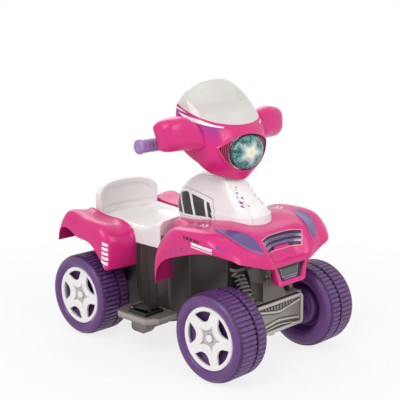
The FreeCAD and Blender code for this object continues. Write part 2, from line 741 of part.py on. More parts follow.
def backrest():
    """Curved upright with round shoulders, wings that come forward, a sunk face and an open foot."""
    rear, front = aft(-75), aft(-56)
    wing = 24.0
    foot = up(199)
    half = SEAT_W - 3

    def plan(back, face, side, sweep, z0, z1):
        outer = Part.Arc(Vector(back + sweep, -side, z0), Vector(back, 0, z0), Vector(back + sweep, side, z0))
        lip = side - 4
        inner = Part.Arc(Vector(face + sweep, lip, z0), Vector(face, 0, z0), Vector(face + sweep, -lip, z0))
        ends = [
            Part.LineSegment(Vector(back + sweep, side, z0), Vector(face + sweep, side - 4, z0)),
            Part.LineSegment(Vector(face + sweep, 4 - side, z0), Vector(back + sweep, -side, z0)),
        ]
        loop = Part.Wire([outer.toShape(), ends[0].toShape(), inner.toShape(), ends[1].toShape()])
        return Part.Face(loop).extrude(Vector(0, 0, z1 - z0))

    body = plan(rear, front, half, wing, foot, BACK_TOP + 1).common(shoulders(0))
    body = body.makeFillet(5, [e for e in body.Edges if e.CenterOfMass.z > BACK_TOP - 12 and e.Length > 60])
    sunk = plan(front - 3, front + 12, half - 16, 0.788 * wing, foot + 18, BACK_TOP)
    body = body.cut(sunk.common(shoulders(14)))
    hollow = plan(rear + WALL, front - 3 - WALL, half - WALL - 2, wing - 2.5, foot - 1, BACK_TOP)
    return body.cut(hollow.common(shoulders(WALL + 5)))


def seat_moulding():
    skin = seat_solid(0, SEAT_HEM_Z).cut(seat_solid(WALL, SEAT_HEM_Z - 10))
    skin = skin.cut(block(aft(-200), aft(110), -200, 200, 0, TUB_RIM_Z + FLANGE + FIT))
    hull = TUB_FOOT_W + FIT
    skin = skin.cut(block(aft(100), aft(230), -hull, hull, 0, TUB_RIM_Z + FIT))
    skin = skin.cut(tank_solid(-0.6))
    return skin.fuse(backrest())


# Tank and neck: white moulding that stands through the hood and carries the upper steering bush

NECK_TOP = 353.0
COLLAR = 4.5
COLLAR_TOP = 263.0


def tank_section(z, rear, front, rear_w, mid_w, front_w, inset):
    """Closed plan outline at one height."""
    x0 = fore(rear) + inset
    x1 = fore(front) - inset
    length = x1 - x0
    shares = [(0.0, 0.0), (0.06, 0.66 * (rear_w - inset)), (0.2, rear_w - inset), (0.45, mid_w - inset),
              (0.7, front_w - inset), (0.92, 0.78 * (front_w - inset)), (1.0, 0.0)]
    left = [Vector(x0 + s * length, w, up(z)) for s, w in shares]
    right = [Vector(p.x, -p.y, p.z) for p in left[1:-1]]
    loop = left + list(reversed(right))
    curve = Part.BSplineCurve()
    curve.interpolate(loop, PeriodicFlag=True)
    return Part.Wire(curve.toShape())


def tank_solid(inset):
    """Filled tank form, drawn in by an inset; a negative inset stands outside the tank."""
    foot = DECK_Z + FLANGE + FIT - WHEEL_R
    levels = [
        (foot, -280, -20, 79, 78, 66), (242, -278, -20, 79, 78, 66), (262, -284, -22, 77, 74, 62),
        (278, -282, -29, 76, 70, 57), (290, -277, -47, 75, 66, 53), (308, -266, -68, 73, 61, 49),
        (326, -250, -84, 69, 56, 46), (342, -228, -98, 61, 50, 43), (NECK_TOP, -206, -106, 52, 46, 40),
    ]
    return Part.makeLoft([tank_section(*level, inset) for level in levels], True)


def tank_collar(inset):
    """Filled bead round the front of the tank's foot, with its ends cut at a slant."""
    foot = DECK_Z + FLANGE + FIT - WHEEL_R
    ends = [(-112 + inset, foot), (20, foot), (20, COLLAR_TOP - inset), (-140 + inset, COLLAR_TOP - inset)]
    band = side_prism([(fore(x), up(z)) for x, z in ends], 120)
    return tank_solid(inset - COLLAR).common(band)


def tank_moulding():
    top = up(NECK_TOP)
    shell = tank_solid(0).fuse(tank_collar(0)).cut(tank_solid(WALL))
    lid = tank_solid(WALL / 2).common(block(-400, 400, -200, 200, top - 4, top + 1))
    piece = shell.fuse(lid).removeSplitter()
    return piece.cut(rod(along(150), STEER, UPPER_BUSH_R, 120))


# Steering: nose bracket with a raked head tube, bushes, column, kingpin

BRACKET_Z = PIVOT_Z - 18
BRACKET_T = 10.0
BUSH_WALL = 3.0
UPPER_BUSH_R = COLUMN_R + 4.0
HEAD_TUBE_R = 23.0
HEAD_TUBE_LOW = 30.0
HEAD_TUBE_LEN = 48.0
CHEEK_Y = 22.0
TONGUE_T = 5.0
SLOT_W = 8.0
SLOT_DEEP = 13.0


def nose_bracket():
    """Base plate for the kingpin, two cheeks up to the deck and the raked tube between them."""
    base = block(TUB_NOSE, KINGPIN_X + 32, -34, 34, BRACKET_Z, BRACKET_Z + BRACKET_T)
    cheek = side_prism([
        (TUB_NOSE, BRACKET_Z), (KINGPIN_X + 26, BRACKET_Z), (KINGPIN_X + 10, BRACKET_Z + 34),
        (steer_x(DECK_Z) + 14, DECK_Z), (TUB_NOSE, DECK_Z)], CHEEK_Y + 4)
    cheek = cheek.cut(side_prism([(0, 0), (500, 0), (500, 500), (0, 500)], CHEEK_Y))
    tube = rod(along(HEAD_TUBE_LOW), STEER, HEAD_TUBE_R, HEAD_TUBE_LEN)
    tube = tube.cut(block(TUB_NOSE - 60, TUB_NOSE, -50, 50, 0, 500))
    piece = fused([base, cheek, tube])
    piece = piece.cut(rod(along(HEAD_TUBE_LOW - 5), STEER, COLUMN_R + BUSH_WALL, HEAD_TUBE_LEN + 20))
    return piece.cut(rod(Vector(KINGPIN_X, 0, 0), Z, KINGPIN_R + BUSH_WALL, 400))


def steering_bushes():
    """Flanged bushes: two on the column and one on the kingpin."""
    low = ring(along(HEAD_TUBE_LOW), STEER, COLUMN_R + BUSH_WALL, COLUMN_R + RUN, HEAD_TUBE_LEN)
    flange = ring(along(HEAD_TUBE_LOW - 2), STEER, COLUMN_R + BUSH_WALL + 4, COLUMN_R + RUN, 2)
    s = (up(NECK_TOP) - PIVOT_Z) / STEER.z
    high = ring(along(s - 9), STEER, UPPER_BUSH_R, COLUMN_R + RUN, 14)
    king = ring(Vector(KINGPIN_X, 0, BRACKET_Z), Z, KINGPIN_R + BUSH_WALL, KINGPIN_R + RUN, BRACKET_T)
    return Part.makeCompound([low.fuse(flange), high, king])


def steering_column():
    """Steel rod with a flat tongue at its foot."""
    foot = 14.0
    shaft = rod(along(foot), STEER, COLUMN_R, COLUMN_TOP - foot)
    reach = X * STEER.z - Z * STEER.x
    corner = along(-7) - reach * 6
    tongue = prism([corner, corner + reach * 12, corner + reach * 12 + STEER * 24, corner + STEER * 24],
                   Vector(0, TONGUE_T, 0))
    tongue.translate(Vector(0, -TONGUE_T / 2, 0))
    return shaft.fuse(tongue).removeSplitter()


def kingpin():
    """Steel pin pressed into the tower, slotted on top for the column's tongue."""
    top = PIVOT_Z + 3
    pin = rod(Vector(KINGPIN_X, 0, TOWER_TOP - 60), Z, KINGPIN_R, top - TOWER_TOP + 60)
    slot = block(KINGPIN_X - 30, KINGPIN_X + 30, -SLOT_W / 2, SLOT_W / 2, top - SLOT_DEEP, top + 1)
    return pin.cut(slot)


# Front axle unit: ribbed beam, leaning tower and two dummy coil-over dampers

BEAM_HALF = 104.0
BEAM_TOP = 166.0
TOWER_TOP = BRACKET_Z - FIT
SHOCK_Y = 76.0
SPRING_R = 13.0
WIRE_R = 2.4
SPRING_TURNS = 5


def front_beam():
    """Hollow beam, open at the back, with arms and fins in relief on its face."""
    side = [(-18, -26), (-10, -34), (22, -34), (32, -24), (35, 40), (26, BEAM_TOP - WHEEL_R),
            (-12, BEAM_TOP - WHEEL_R), (-18, 48)]
    body = side_prism([(fore(x), up(z)) for x, z in side], BEAM_HALF)
    ends = [e for e in body.Edges
            if abs(abs(e.CenterOfMass.y) - BEAM_HALF) < 0.1 and e.CenterOfMass.x > fore(0)]
    body = body.makeFillet(5, ends)
    pocket = block(fore(28), fore(60), 10, BEAM_HALF - 12, up(-20), up(40))
    body = body.cut(pocket).cut(mirrored(pocket))
    hollow = block(fore(-40), fore(22), 24, BEAM_HALF - 8, up(-28), up(BEAM_TOP - WHEEL_R - 8))
    body = body.cut(hollow).cut(mirrored(hollow))
    relief = []

    def rib(y0, z0, y1, z1, wide):
        run = Vector(0, y1 - y0, z1 - z0)
        normal = Vector(0, -run.z, run.y).normalize() * (wide / 2)
        a = Vector(fore(20), y0, up(z0))
        b = Vector(fore(20), y1, up(z1))
        return prism([a - normal, b - normal, b + normal, a + normal], Vector(12.5, 0, 0))

    relief.append(rib(8, -12, BEAM_HALF - 10, 30, 9))
    relief.append(rib(8, -20, BEAM_HALF - 10, -10, 7))
    for k in range(6):
        y = 14 + 8.5 * k
        relief.append(rib(y, -4 + 0.45 * (y - 8), y, 38, 3))
    relief += [mirrored(r) for r in relief]
    boss_len = WHEEL_Y + BOSS_IN - BEAM_HALF - FIT
    boss = rod(Vector(FRONT_AXLE_X, BEAM_HALF - 9, WHEEL_R), Y, SLEEVE_R + 3, boss_len + 9)
    knob = rod(Vector(fore(8), 0, up(-44)), Z, 13, 20)
    knob = knob.makeFillet(6, [knob.Edges[2]])
    body = fused([body, boss, mirrored(boss), knob] + relief)
    return body.cut(rod(Vector(FRONT_AXLE_X, -200, WHEEL_R), Y, AXLE_R, 400))


def suspension_tower():
    """Tapered block that leans back from the beam and spreads into the damper yoke."""

    def level(x0, x1, half, z):
        corners = [(x0, -half), (x1, -half), (x1, half), (x0, half)]
        return outline([Vector(x, y, z) for x, y in corners])

    foot = level(fore(-12), fore(24), 46, BEAM_TOP)
    waist = level(fore(-34), fore(10), 30, BEAM_TOP + 44)
    head = level(KINGPIN_X - 22, KINGPIN_X + 22, 36, TOWER_TOP)
    body = Part.makeLoft([foot, waist, head], True, True)
    yoke = block(fore(-52), fore(-26), -SHOCK_Y - 13, SHOCK_Y + 13, TOWER_TOP - 12, TOWER_TOP - 3)
    yoke = yoke.makeFillet(4, [e for e in yoke.Edges if abs(e.tangentAt(e.FirstParameter).z) > 0.9])
    ribs = [block(fore(-2), fore(15), y - 2, y + 2, BEAM_TOP + 14, BEAM_TOP + 52) for y in (-18, -6, 6, 18)]
    piece = fused([body, yoke] + ribs)
    return piece.cut(rod(Vector(KINGPIN_X, 0, TOWER_TOP - 60), Z, KINGPIN_R, 100))


def shock_line():
    """Foot and head of a damper's centre line, on the left."""
    foot = Vector(fore(6), SHOCK_Y, BEAM_TOP + 9)
    head = Vector(fore(-37), SHOCK_Y, TOWER_TOP - 14)
    return foot, head


def shock_dampers():
    """Two dampers: eye, lower cup, body, rod and upper cup."""
    foot, head = shock_line()
    axis = (head - foot).normalize()
    length = (head - foot).Length
    eye = rod(foot - Y * 8, Y, 9, 16)
    cup = rod(foot + axis * 8, axis, SPRING_R + 4, 4)
    body = rod(foot, axis, 8, 0.55 * length)
    pin = rod(foot, axis, 5, length)
    top = rod(foot + axis * (length - 8), axis, SPRING_R + 4, 6)
    piece = fused([eye, cup, body, pin, top])
    piece = piece.cut(block(fore(-60), fore(60), 0, 200, BEAM_TOP - 20, BEAM_TOP))
    piece = piece.cut(block(fore(-90), fore(60), 0, 200, TOWER_TOP - 12, TOWER_TOP + 20))
    return both(piece)


def shock_spring(side):
    """Open coil between the two cups, wound from quarter-turn arcs."""
    foot, head = shock_line()
    axis = (head - foot).normalize()
    start = foot + axis * (12 + WIRE_R + FIT)
    rise = (head - foot).Length - 8 - 12 - 2 * (WIRE_R + FIT)
    u = Y
    v = axis.cross(u)
    quarters = 4 * SPRING_TURNS

    def at(q):
        a = q * math.pi / 2
        return start + axis * (rise * q / quarters) + (u * math.cos(a) + v * math.sin(a)) * SPRING_R

    arcs = [Part.Arc(at(q), at(q + 0.5), at(q + 1)).toShape() for q in range(quarters)]
    coil = swept(Part.Wire(arcs), WIRE_R)
    gap = rise / SPRING_TURNS - 2 * WIRE_R
    print("spring: least gap between turns", round(gap, 2), "mm")
    return mirrored(coil) if side < 0 else coil


# Head: pink mask, windshield, lamp and rear cover, turning with the handlebar

HEAD_BACK = fore(-212)
LIP = 2.5


def head_section(z, front, width, inset):
    """Closed plan outline of the head at one height: a blunt nose and a straight back."""
    back = HEAD_BACK - max(inset, 0) * 3
    nose = fore(front) - inset
    half = width - inset
    depth = nose - HEAD_BACK
    shares = [(0.35, 1.0), (0.62, 0.93), (0.84, 0.74), (0.96, 0.42)]
    left = [Vector(back, half * 0.97, up(z))]
    left += [Vector(HEAD_BACK + s * depth, half * w, up(z)) for s, w in shares]
    right = [Vector(p.x, -p.y, p.z) for p in left]
    curve = spline(left + [Vector(nose, 0, up(z))] + list(reversed(right)))
    closing = Part.LineSegment(right[0], left[0]).toShape()
    return Part.Wire([curve, closing])


def head_solid(inset):
    """Filled head form, from the chin to the top of the windshield."""
    levels = [
        (338, -94, 44), (360, -80, 74), (385, -70, 100), (415, -65, 114), (445, -68, 119),
        (480, -82, 119), (515, -109, 117), (550, -139, 108), (580, -168, 84), (598, -186, 55),
    ]
    return Part.makeLoft([head_section(*level, inset) for level in levels], True)


def above_brow():
    """Everything above the slanted upper rim of the mask."""
    slope = 51.0 / 123.0

    def rim(x):
        return up(485) + (fore(-86) - x) * slope

    x0, x1 = fore(-300), fore(100)
    return side_prism([(x0, rim(x0)), (x1, rim(x1)), (x1, up(900)), (x0, up(900))], 300)


def below_jaw():
    """Everything under the lower edge of the mask."""
    edge = [(60, 336), (-89, 345), (-129, 364), (-146, 393), (-184, 420), (-260, 436),
            (-260, 200), (60, 200)]
    return side_prism([(fore(x), up(z)) for x, z in edge], 300)


def eye_prism(spread):
    """Eye-shaped lamp opening, carried through the front of the mask."""
    x0 = fore(-130)
    tip, tip_z = 89 + spread, up(433)
    high = up(461.8) + spread
    low = up(370.2) - spread
    upper = Part.Arc(Vector(x0, -tip, tip_z), Vector(x0, 0, high), Vector(x0, tip, tip_z))
    lower = Part.Arc(Vector(x0, tip, tip_z), Vector(x0, 0, low), Vector(x0, -tip, tip_z))
    return Part.Face(Part.Wire([upper.toShape(), lower.toShape()])).extrude(Vector(120, 0, 0))


def bar_path():
    """Centre line of the handlebar, swept back to the grips."""
    middle = Vector(steer_x(BAR_Z), 0, BAR_Z)
    half = [middle + Y * 44, Vector(GRIP_X, GRIP_IN - 26, BAR_Z + 2),
            Vector(GRIP_X, GRIP_OUT - 2, BAR_Z + 2)]
    right = [Vector(p.x, -p.y, p.z) for p in reversed(half)]
    return rounded_path(right + half, 40)


def head_fairing():
    shell = head_solid(0).cut(head_solid(WALL))
    shell = shell.cut(above_brow()).cut(below_jaw())
    lip = head_solid(-LIP).cut(head_solid(WALL / 2)).common(eye_prism(2 * LIP))
    shell = shell.fuse(lip).cut(eye_prism(0))
    return shell.cut(swept(bar_path(), BAR_R + FIT))


def windshield():
    """Clear screen that carries on from the rim of the mask."""
    shell = head_solid(0.6).cut(head_solid(0.6 + WINDSHIELD_WALL))
    shell = shell.common(above_brow())
    x0 = fore(-300)
    half = [(119, up(470)), (111, up(522)), (92, up(555)), (62, up(577)), (34, up(588)), (0, up(591))]
    points = [Vector(x0, -y, z) for y, z in half] + [Vector(x0, y, z) for y, z in reversed(half[:-1])]
    crown = spline(points)
    foot = Part.LineSegment(points[-1], points[0]).toShape()
    arch = Part.Face(Part.Wire([crown, foot])).extrude(Vector(500, 0, 0))
    shell = shell.common(arch)
    behind = side_prism([(fore(-300), up(400)), (fore(-208), up(400)), (fore(-208), up(536)),
                         (fore(-186), up(600)), (fore(-300), up(600))], 300)
    return shell.cut(behind)


LAMP_X = fore(-76)
LAMP_Z = 416.0
LAMP_W = 62.0
LAMP_H = 44.5
LOUVRES = 8
LOUVRE_PITCH = 4.2


def oval(x, half_w, half_h):
    """Upright oval across the head at one station."""
    wire = Part.Wire(Part.Ellipse(Vector(0, 0, 0), half_w, half_h).toShape())
    wire.rotate(Vector(0, 0, 0), Z, 90)
    wire.rotate(Vector(0, 0, 0), Y, 90)
    wire.translate(Vector(x, 0, up(LAMP_Z)))
    return wire


def oval_dome(depth, half_w, half_h):
    """Filled dome on the lamp oval, standing forward by a depth, or back by a negative one."""
    angles = [math.radians(a) for a in (0, 22, 42, 60, 74, 84)]
    return Part.makeLoft([oval(LAMP_X + depth * math.sin(a), half_w * math.cos(a), half_h * math.cos(a))
                          for a in angles], True)


def lamp_hole(extra):
    """Oval bore of the lamp, through the front of the head."""
    return Part.Face(oval(fore(-130), LAMP_W + extra, LAMP_H + extra)).extrude(Vector(120, 0, 0))


def lamp_panel():
    """Black eye panel set behind the opening, with a hole for the lamp."""
    plate = head_solid(WALL + FIT).cut(head_solid(WALL + FIT + 2.5))
    plate = plate.common(eye_prism(6))
    return plate.cut(lamp_hole(0.3))


def lamp_louvres():
    """Slats beside the lamp, standing on the eye panel."""
    slab = head_solid(0.5).cut(head_solid(WALL + FIT))
    slab = slab.common(eye_prism(-0.4)).cut(lamp_hole(2.5))
    slats = []
    for k in range(LOUVRES):
        y = 51 + k * LOUVRE_PITCH
        cut = block(fore(-160), fore(0), y, y + LOUVRE_PITCH / 2, up(360), up(470))
        slats += slab.common(cut).Solids + slab.common(mirrored(cut)).Solids
    return Part.makeCompound(slats)


def lamp_lens():
    """Oval domed glass."""
    return oval_dome(16, LAMP_W, LAMP_H).cut(oval_dome(13.5, LAMP_W - 2.5, LAMP_H - 2.5))


def lamp_reflector():
    """Bright bowl behind the lamp glass."""
    return oval_dome(-36, LAMP_W - 1, LAMP_H - 1).cut(oval_dome(-34, LAMP_W - 3, LAMP_H - 3))


def head_rear_cover():
    """Panel that closes the head towards the rider, with a raised instrument hood."""
    inside = head_solid(WALL + 0.2)
    plate = inside.common(block(fore(-196), fore(-196) + WALL, -200, 200, up(300), up(560)))
    plate = plate.cut(above_brow()).cut(below_jaw())
    dial = rod(Vector(fore(-206), 0, up(475)), X, 30, 11)
    dial = dial.cut(rod(Vector(fore(-206) - 1, 0, up(475)), X, 26, 6))
    plate = plate.fuse(dial).removeSplitter()
    return plate.cut(swept(bar_path(), BAR_R + FIT))


GUARD_LINES = [
    (88, 88, [(-174, 497), (-150, 505), (-128, 497), (-120, 475), (-117, 454), (-125, 438), (-154, 428)]),
    (140, 140, [(-176, 505), (-151, 513), (-128, 505), (-120, 479), (-117, 455), (-126, 437), (-155, 427)]),
    (185, 182, [(-179, 505), (-154, 511), (-132, 503), (-124, 480), (-122, 456), (-131, 438), (-158, 428)]),
    (213, 206, [(-181, 497), (-159, 503), (-140, 495), (-133, 477), (-131, 457), (-139, 440), (-163, 430)]),
    (223, 215, [(-182, 488), (-163, 493), (-149, 486), (-143, 472), (-141, 457), (-148, 445), (-167, 436)]),
]
GUARD_CREASE = 4


def guard_section(top_y, foot_y, points, inset):
    """Side-view outline of a guard: top and front down to a crease, then the lower face."""
    line = []
    for x, z in drawn_in(points, inset):
        share = (510 - z) / 80
        line.append(Vector(fore(x), top_y + share * (foot_y - top_y), up(z)))
    reach = X * (-8 * inset)
    corners = [line[-1], line[0]]
    if inset:
        corners = [line[-1], line[-1] + reach, line[0] + reach, line[0]]
    curves = [spline(line[:GUARD_CREASE + 1]), spline(line[GUARD_CREASE:])]
    return Part.Wire(curves + Part.makePolygon(corners).Edges)


def guard_solid(inset):
    """Filled left guard from inside the head to its closed end."""
    sections = []
    for k, (top_y, foot_y, points) in enumerate(GUARD_LINES):
        end = inset * (k == len(GUARD_LINES) - 1)
        sections.append(guard_section(top_y - end, foot_y - end, points, inset))
    return Part.makeLoft(sections, True)


def hand_guard(side):
    """Scooped shell in front of the grip, open to the rear."""
    shell = guard_solid(0).cut(guard_solid(WALL)).cut(head_solid(-2 * FIT))
    return mirrored(shell) if side < 0 else shell


def handlebar():
    return swept(bar_path(), BAR_R).cut(swept(bar_path(), BAR_R - 2))


def grip(side):
    """Ribbed grip with a flange at its inner end and a rounded cap."""
    r = GRIP_R
    length = GRIP_OUT - GRIP_IN
    points = [(BAR_R, 0), (r + 4, 0), (r + 4, 4), (r, 6)]
    ribs = 6
    pitch = (length - 22) / ribs
    for k in range(ribs):
        w = 8 + k * pitch
        points += [(r, w), (r + 1.2, w + 1.5), (r + 1.2, w + pitch - 4), (r, w + pitch - 2.5)]
    points += [(r, length - 8), (r + 3, length - 6), (r + 3, length), (r - 2, length + 4), (0, length + 5)]
    points += [(0, length - 2), (BAR_R, length - 2)]
    body = spun(outline([Vector(a, w, 0) for a, w in points]))
    body.translate(Vector(GRIP_X, GRIP_IN, BAR_Z + 2))
    return mirrored(body) if side < 0 else body


def bar_clamp():
    """Block on top of the column that holds the handlebar."""
    low = COLUMN_TOP - 26
    body = rod(along(low), STEER, 17, 58)
    body = body.cut(rod(along(low - 1), STEER, COLUMN_R, 27))
    return body.cut(swept(bar_path(), BAR_R))


# Drive: motor, gearbox and gears inside the hull beside the right rear wheel

DRIVE_HUB_R = 27.0
CASE_OUT = -(TUB_REAR_W - WALL - FIT)
DRIVE_Y = CASE_OUT + 4.0
DRIVE_FACE = 9.0
SECOND_FACE = 7.0
FIRST_FACE = 6.0
LAYER_GAP = 2.0
SECOND_Y = DRIVE_Y + DRIVE_FACE + LAYER_GAP
FIRST_Y = SECOND_Y + SECOND_FACE + LAYER_GAP
CASE_IN = FIRST_Y + FIRST_FACE + 5.0
CASE_SPLIT = SECOND_Y - LAYER_GAP / 2


def centre_distance(a, b, module):
    return module * (a + b) / 2


def step(point, angle, distance):
    a = math.radians(angle)
    return (point[0] + distance * math.cos(a), point[1] + distance * math.sin(a))


DRIVE_AT = (REAR_AXLE_X, WHEEL_R)
SECOND_ANGLE = 28.0
FIRST_ANGLE = 12.0
MOTOR_ANGLE = -35.0
SECOND_AT = step(DRIVE_AT, SECOND_ANGLE, centre_distance(DRIVE_TEETH, SECOND_PINION, DRIVE_MODULE))
FIRST_AT = step(SECOND_AT, FIRST_ANGLE, centre_distance(SECOND_TEETH, FIRST_PINION, SECOND_MODULE))
MOTOR_AT = step(FIRST_AT, MOTOR_ANGLE, centre_distance(FIRST_TEETH, MOTOR_TEETH, FIRST_MODULE))


def gear_blank(teeth, module, width, centre, y, heading, tooth_there):
    """Involute spur gear; a tooth, or else a gap, points along the heading angle."""
    pitch_r = module * teeth / 2
    base_r = pitch_r * math.cos(math.radians(20))
    tip_r = pitch_r + module
    root_r = pitch_r - 1.25 * module
    flank_r = max(base_r, root_r + 0.1 * module)

    def unwound(radius):
        t = math.sqrt(max((radius / base_r) ** 2 - 1, 0))
        return t - math.atan(t)

    half = math.pi / (2 * teeth) - BACKLASH / (2 * pitch_r) + unwound(pitch_r)

    def at(radius, angle):
        return Vector(centre[0] + radius * math.cos(angle), y, centre[1] + radius * math.sin(angle))

    radii = [flank_r + (tip_r - flank_r) * k / 3 for k in range(4)]
    pitch = 2 * math.pi / teeth
    first = math.radians(heading) + (0 if tooth_there else pitch / 2)
    edges = []
    for k in range(teeth):
        mid = first + k * pitch
        rise = [at(root_r, mid - half)] + [at(r, mid - half + unwound(r)) for r in radii]
        fall = [at(r, mid + half - unwound(r)) for r in reversed(radii)] + [at(root_r, mid + half)]
        edges.append(spline(rise))
        edges.append(Part.LineSegment(rise[-1], fall[0]).toShape())
        edges.append(spline(fall))
        edges.append(Part.LineSegment(fall[-1], at(root_r, mid + pitch - half)).toShape())
    return Part.Face(Part.Wire(edges)).extrude(Vector(0, width, 0))


def bored(shape, centre, radius):
    return shape.cut(rod(Vector(centre[0], -300, centre[1]), Y, radius, 600))


def drive_gear():
    """Last gear, on the axle, with a hub through the case and dogs in the wheel boss."""
    gear = gear_blank(DRIVE_TEETH, DRIVE_MODULE, DRIVE_FACE, DRIVE_AT, DRIVE_Y, SECOND_ANGLE, True)
    boss = -(WHEEL_Y + BOSS_IN)
    hub = rod(Vector(REAR_AXLE_X, boss, WHEEL_R), Y, DRIVE_HUB_R - 0.6, DRIVE_Y - boss)
    piece = gear.fuse(hub)
    for k in range(4):
        dog = block(DRIVE_HUB_R - 12, DRIVE_HUB_R - 2, boss - DOG_DEEP + 0.5, boss + 1,
                    0.2 - DOG_W / 2, DOG_W / 2 - 0.2)
        dog.rotate(Vector(0, 0, 0), Y, 90 * k)
        dog.translate(Vector(REAR_AXLE_X, 0, WHEEL_R))
        piece = piece.fuse(dog)
    return bored(piece.removeSplitter(), DRIVE_AT, AXLE_R + RUN)


def second_gear():
    """Compound gear that drives the axle gear."""
    pinion = gear_blank(SECOND_PINION, DRIVE_MODULE, DRIVE_FACE + LAYER_GAP, SECOND_AT, DRIVE_Y,
                        SECOND_ANGLE + 180, False)
    large = gear_blank(SECOND_TEETH, SECOND_MODULE, SECOND_FACE, SECOND_AT, SECOND_Y, FIRST_ANGLE, True)
    return bored(pinion.fuse(large), SECOND_AT, SHAFT_R + RUN)


def first_gear():
    """Compound gear that the motor pinion drives."""
    pinion = gear_blank(FIRST_PINION, SECOND_MODULE, SECOND_FACE + LAYER_GAP, FIRST_AT, SECOND_Y,
                        FIRST_ANGLE + 180, False)
    large = gear_blank(FIRST_TEETH, FIRST_MODULE, FIRST_FACE, FIRST_AT, FIRST_Y, MOTOR_ANGLE, True)
    return bored(pinion.fuse(large), FIRST_AT, SHAFT_R + RUN)


def motor_shaft(radius):
    return rod(Vector(MOTOR_AT[0], FIRST_Y - 1, MOTOR_AT[1]), Y, radius, CASE_IN - FIRST_Y + 12)


def motor_pinion():
    """Pinion on the motor's shaft."""
    pinion = gear_blank(MOTOR_TEETH, FIRST_MODULE, FIRST_FACE, MOTOR_AT, FIRST_Y, MOTOR_ANGLE + 180, False)
    return pinion.fuse(motor_shaft(MOTOR_SHAFT_R)).removeSplitter()


def case_outline(grow, y, depth):
    """Rounded case that follows the gear train."""
    discs = [
        (DRIVE_AT, DRIVE_MODULE * (DRIVE_TEETH / 2 + 1) + 2),
        (SECOND_AT, SECOND_MODULE * (SECOND_TEETH / 2 + 1) + 2),
        (FIRST_AT, FIRST_MODULE * (FIRST_TEETH / 2 + 1) + 2),
        (MOTOR_AT, FIRST_MODULE * (MOTOR_TEETH / 2 + 1) + 3),
    ]
    shapes = [rod(Vector(p[0], y, p[1]), Y, r + grow, depth) for p, r in discs]
    for (p, r), (q, s) in zip(discs, discs[1:]):
        run = Vector(q[0] - p[0], 0, q[1] - p[1])
        side = Vector(-run.z, 0, run.x).normalize() * (min(r, s) + grow)
        a = Vector(p[0], y, p[1])
        b = a + run
        shapes.append(prism([a - side, b - side, b + side, a + side], Vector(0, depth, 0)))
    return fused(shapes)


def gearbox_case():
    """Outer half of the gearbox, with the two gear shafts standing in it."""
    shell = case_outline(3, CASE_OUT, CASE_SPLIT - CASE_OUT)
    shell = shell.cut(case_outline(0, DRIVE_Y - 1.5, 100))
    shafts = []
    for p in (SECOND_AT, FIRST_AT):
        shafts.append(rod(Vector(p[0], CASE_OUT + 1, p[1]), Y, SHAFT_R, CASE_IN - CASE_OUT - 5))
        shafts.append(rod(Vector(p[0], CASE_OUT + 1, p[1]), Y, SHAFT_R + 3, DRIVE_Y - CASE_OUT - 1.3))
    stand = rod(Vector(FIRST_AT[0], CASE_OUT + 1, FIRST_AT[1]), Y, SHAFT_R + 3, SECOND_Y - CASE_OUT - 1.3)
    piece = fused([shell, stand] + shafts)
    return piece.cut(rod(Vector(REAR_AXLE_X, -300, WHEEL_R), Y, DRIVE_HUB_R, 300 + DRIVE_Y - 1))


def gearbox_cover():
    """Inner half of the gearbox; the motor sits on it and the axle passes through."""
    shell = case_outline(3, CASE_SPLIT, CASE_IN - CASE_SPLIT)
    shell = shell.cut(case_outline(0, CASE_SPLIT - 1, CASE_IN - CASE_SPLIT - 2))
    for p in (SECOND_AT, FIRST_AT):
        shell = shell.cut(rod(Vector(p[0], -300, p[1]), Y, SHAFT_R, 600))
    shell = shell.cut(rod(Vector(MOTOR_AT[0], -300, MOTOR_AT[1]), Y, 4, 600))
    return bored(shell, DRIVE_AT, AXLE_R)


def motor():
    """Can motor on a cradle, bored for the shaft that reaches into the gearbox."""
    can = rod(Vector(MOTOR_AT[0], CASE_IN, MOTOR_AT[1]), Y, 18, 52)
    neck = rod(Vector(MOTOR_AT[0], CASE_IN + 52, MOTOR_AT[1]), Y, 8, 5)
    cradle = block(MOTOR_AT[0] - 14, MOTOR_AT[0] + 14, CASE_IN + 6, CASE_IN + 46,
                   TUB_FLOOR_Z + WALL, MOTOR_AT[1] - 10)
    return fused([can, neck, cradle]).cut(motor_shaft(MOTOR_SHAFT_R + RUN))


def battery():
    """Sealed battery standing on the hull floor, with two terminals."""
    x0 = aft(125)
    z0 = TUB_FLOOR_Z + WALL
    case = block(x0, x0 + 70, -24, 24, z0, z0 + 100)
    case = case.makeFillet(3, [e for e in case.Edges if abs(e.tangentAt(e.FirstParameter).z) > 0.99])
    lid = block(x0 + 2, x0 + 68, -22, 22, z0 + 99, z0 + 103)
    tabs = [block(x0 + 12, x0 + 18, y - 3, y + 3, z0 + 102, z0 + 109) for y in (-13, 13)]
    return fused([case, lid] + tabs)


# Pedal on the right footrest

PEDAL_X0 = aft(180)
PEDAL_X1 = aft(246)
PEDAL_Y0 = -198.0
PEDAL_Y1 = -134.0
PEDAL_BASE_T = 9.0
PEDAL_LIFT = 11.0


def pedal_base():
    """Black tray screwed to the footrest, with two ears for the pedal pin."""
    tray = block(PEDAL_X0, PEDAL_X1, PEDAL_Y0, PEDAL_Y1, BOARD_Z, BOARD_Z + PEDAL_BASE_T)
    tray = tray.makeChamfer(2, [e for e in tray.Edges if e.CenterOfMass.z > BOARD_Z + PEDAL_BASE_T - 0.1])
    well = block(PEDAL_X0 + 14, PEDAL_X1 - 4, PEDAL_Y0 + 6, PEDAL_Y1 - 6, BOARD_Z + 2, BOARD_Z + 50)
    tray = tray.cut(well)
    ears = []
    for y in (PEDAL_Y0 + 6, PEDAL_Y1 - 10):
        ears.append(block(PEDAL_X0 + 3, PEDAL_X0 + 13, y, y + 4, BOARD_Z + 4, BOARD_Z + PEDAL_BASE_T + 8))
    return fused([tray] + ears).cut(pedal_pin_rod(PEDAL_PIN_R))


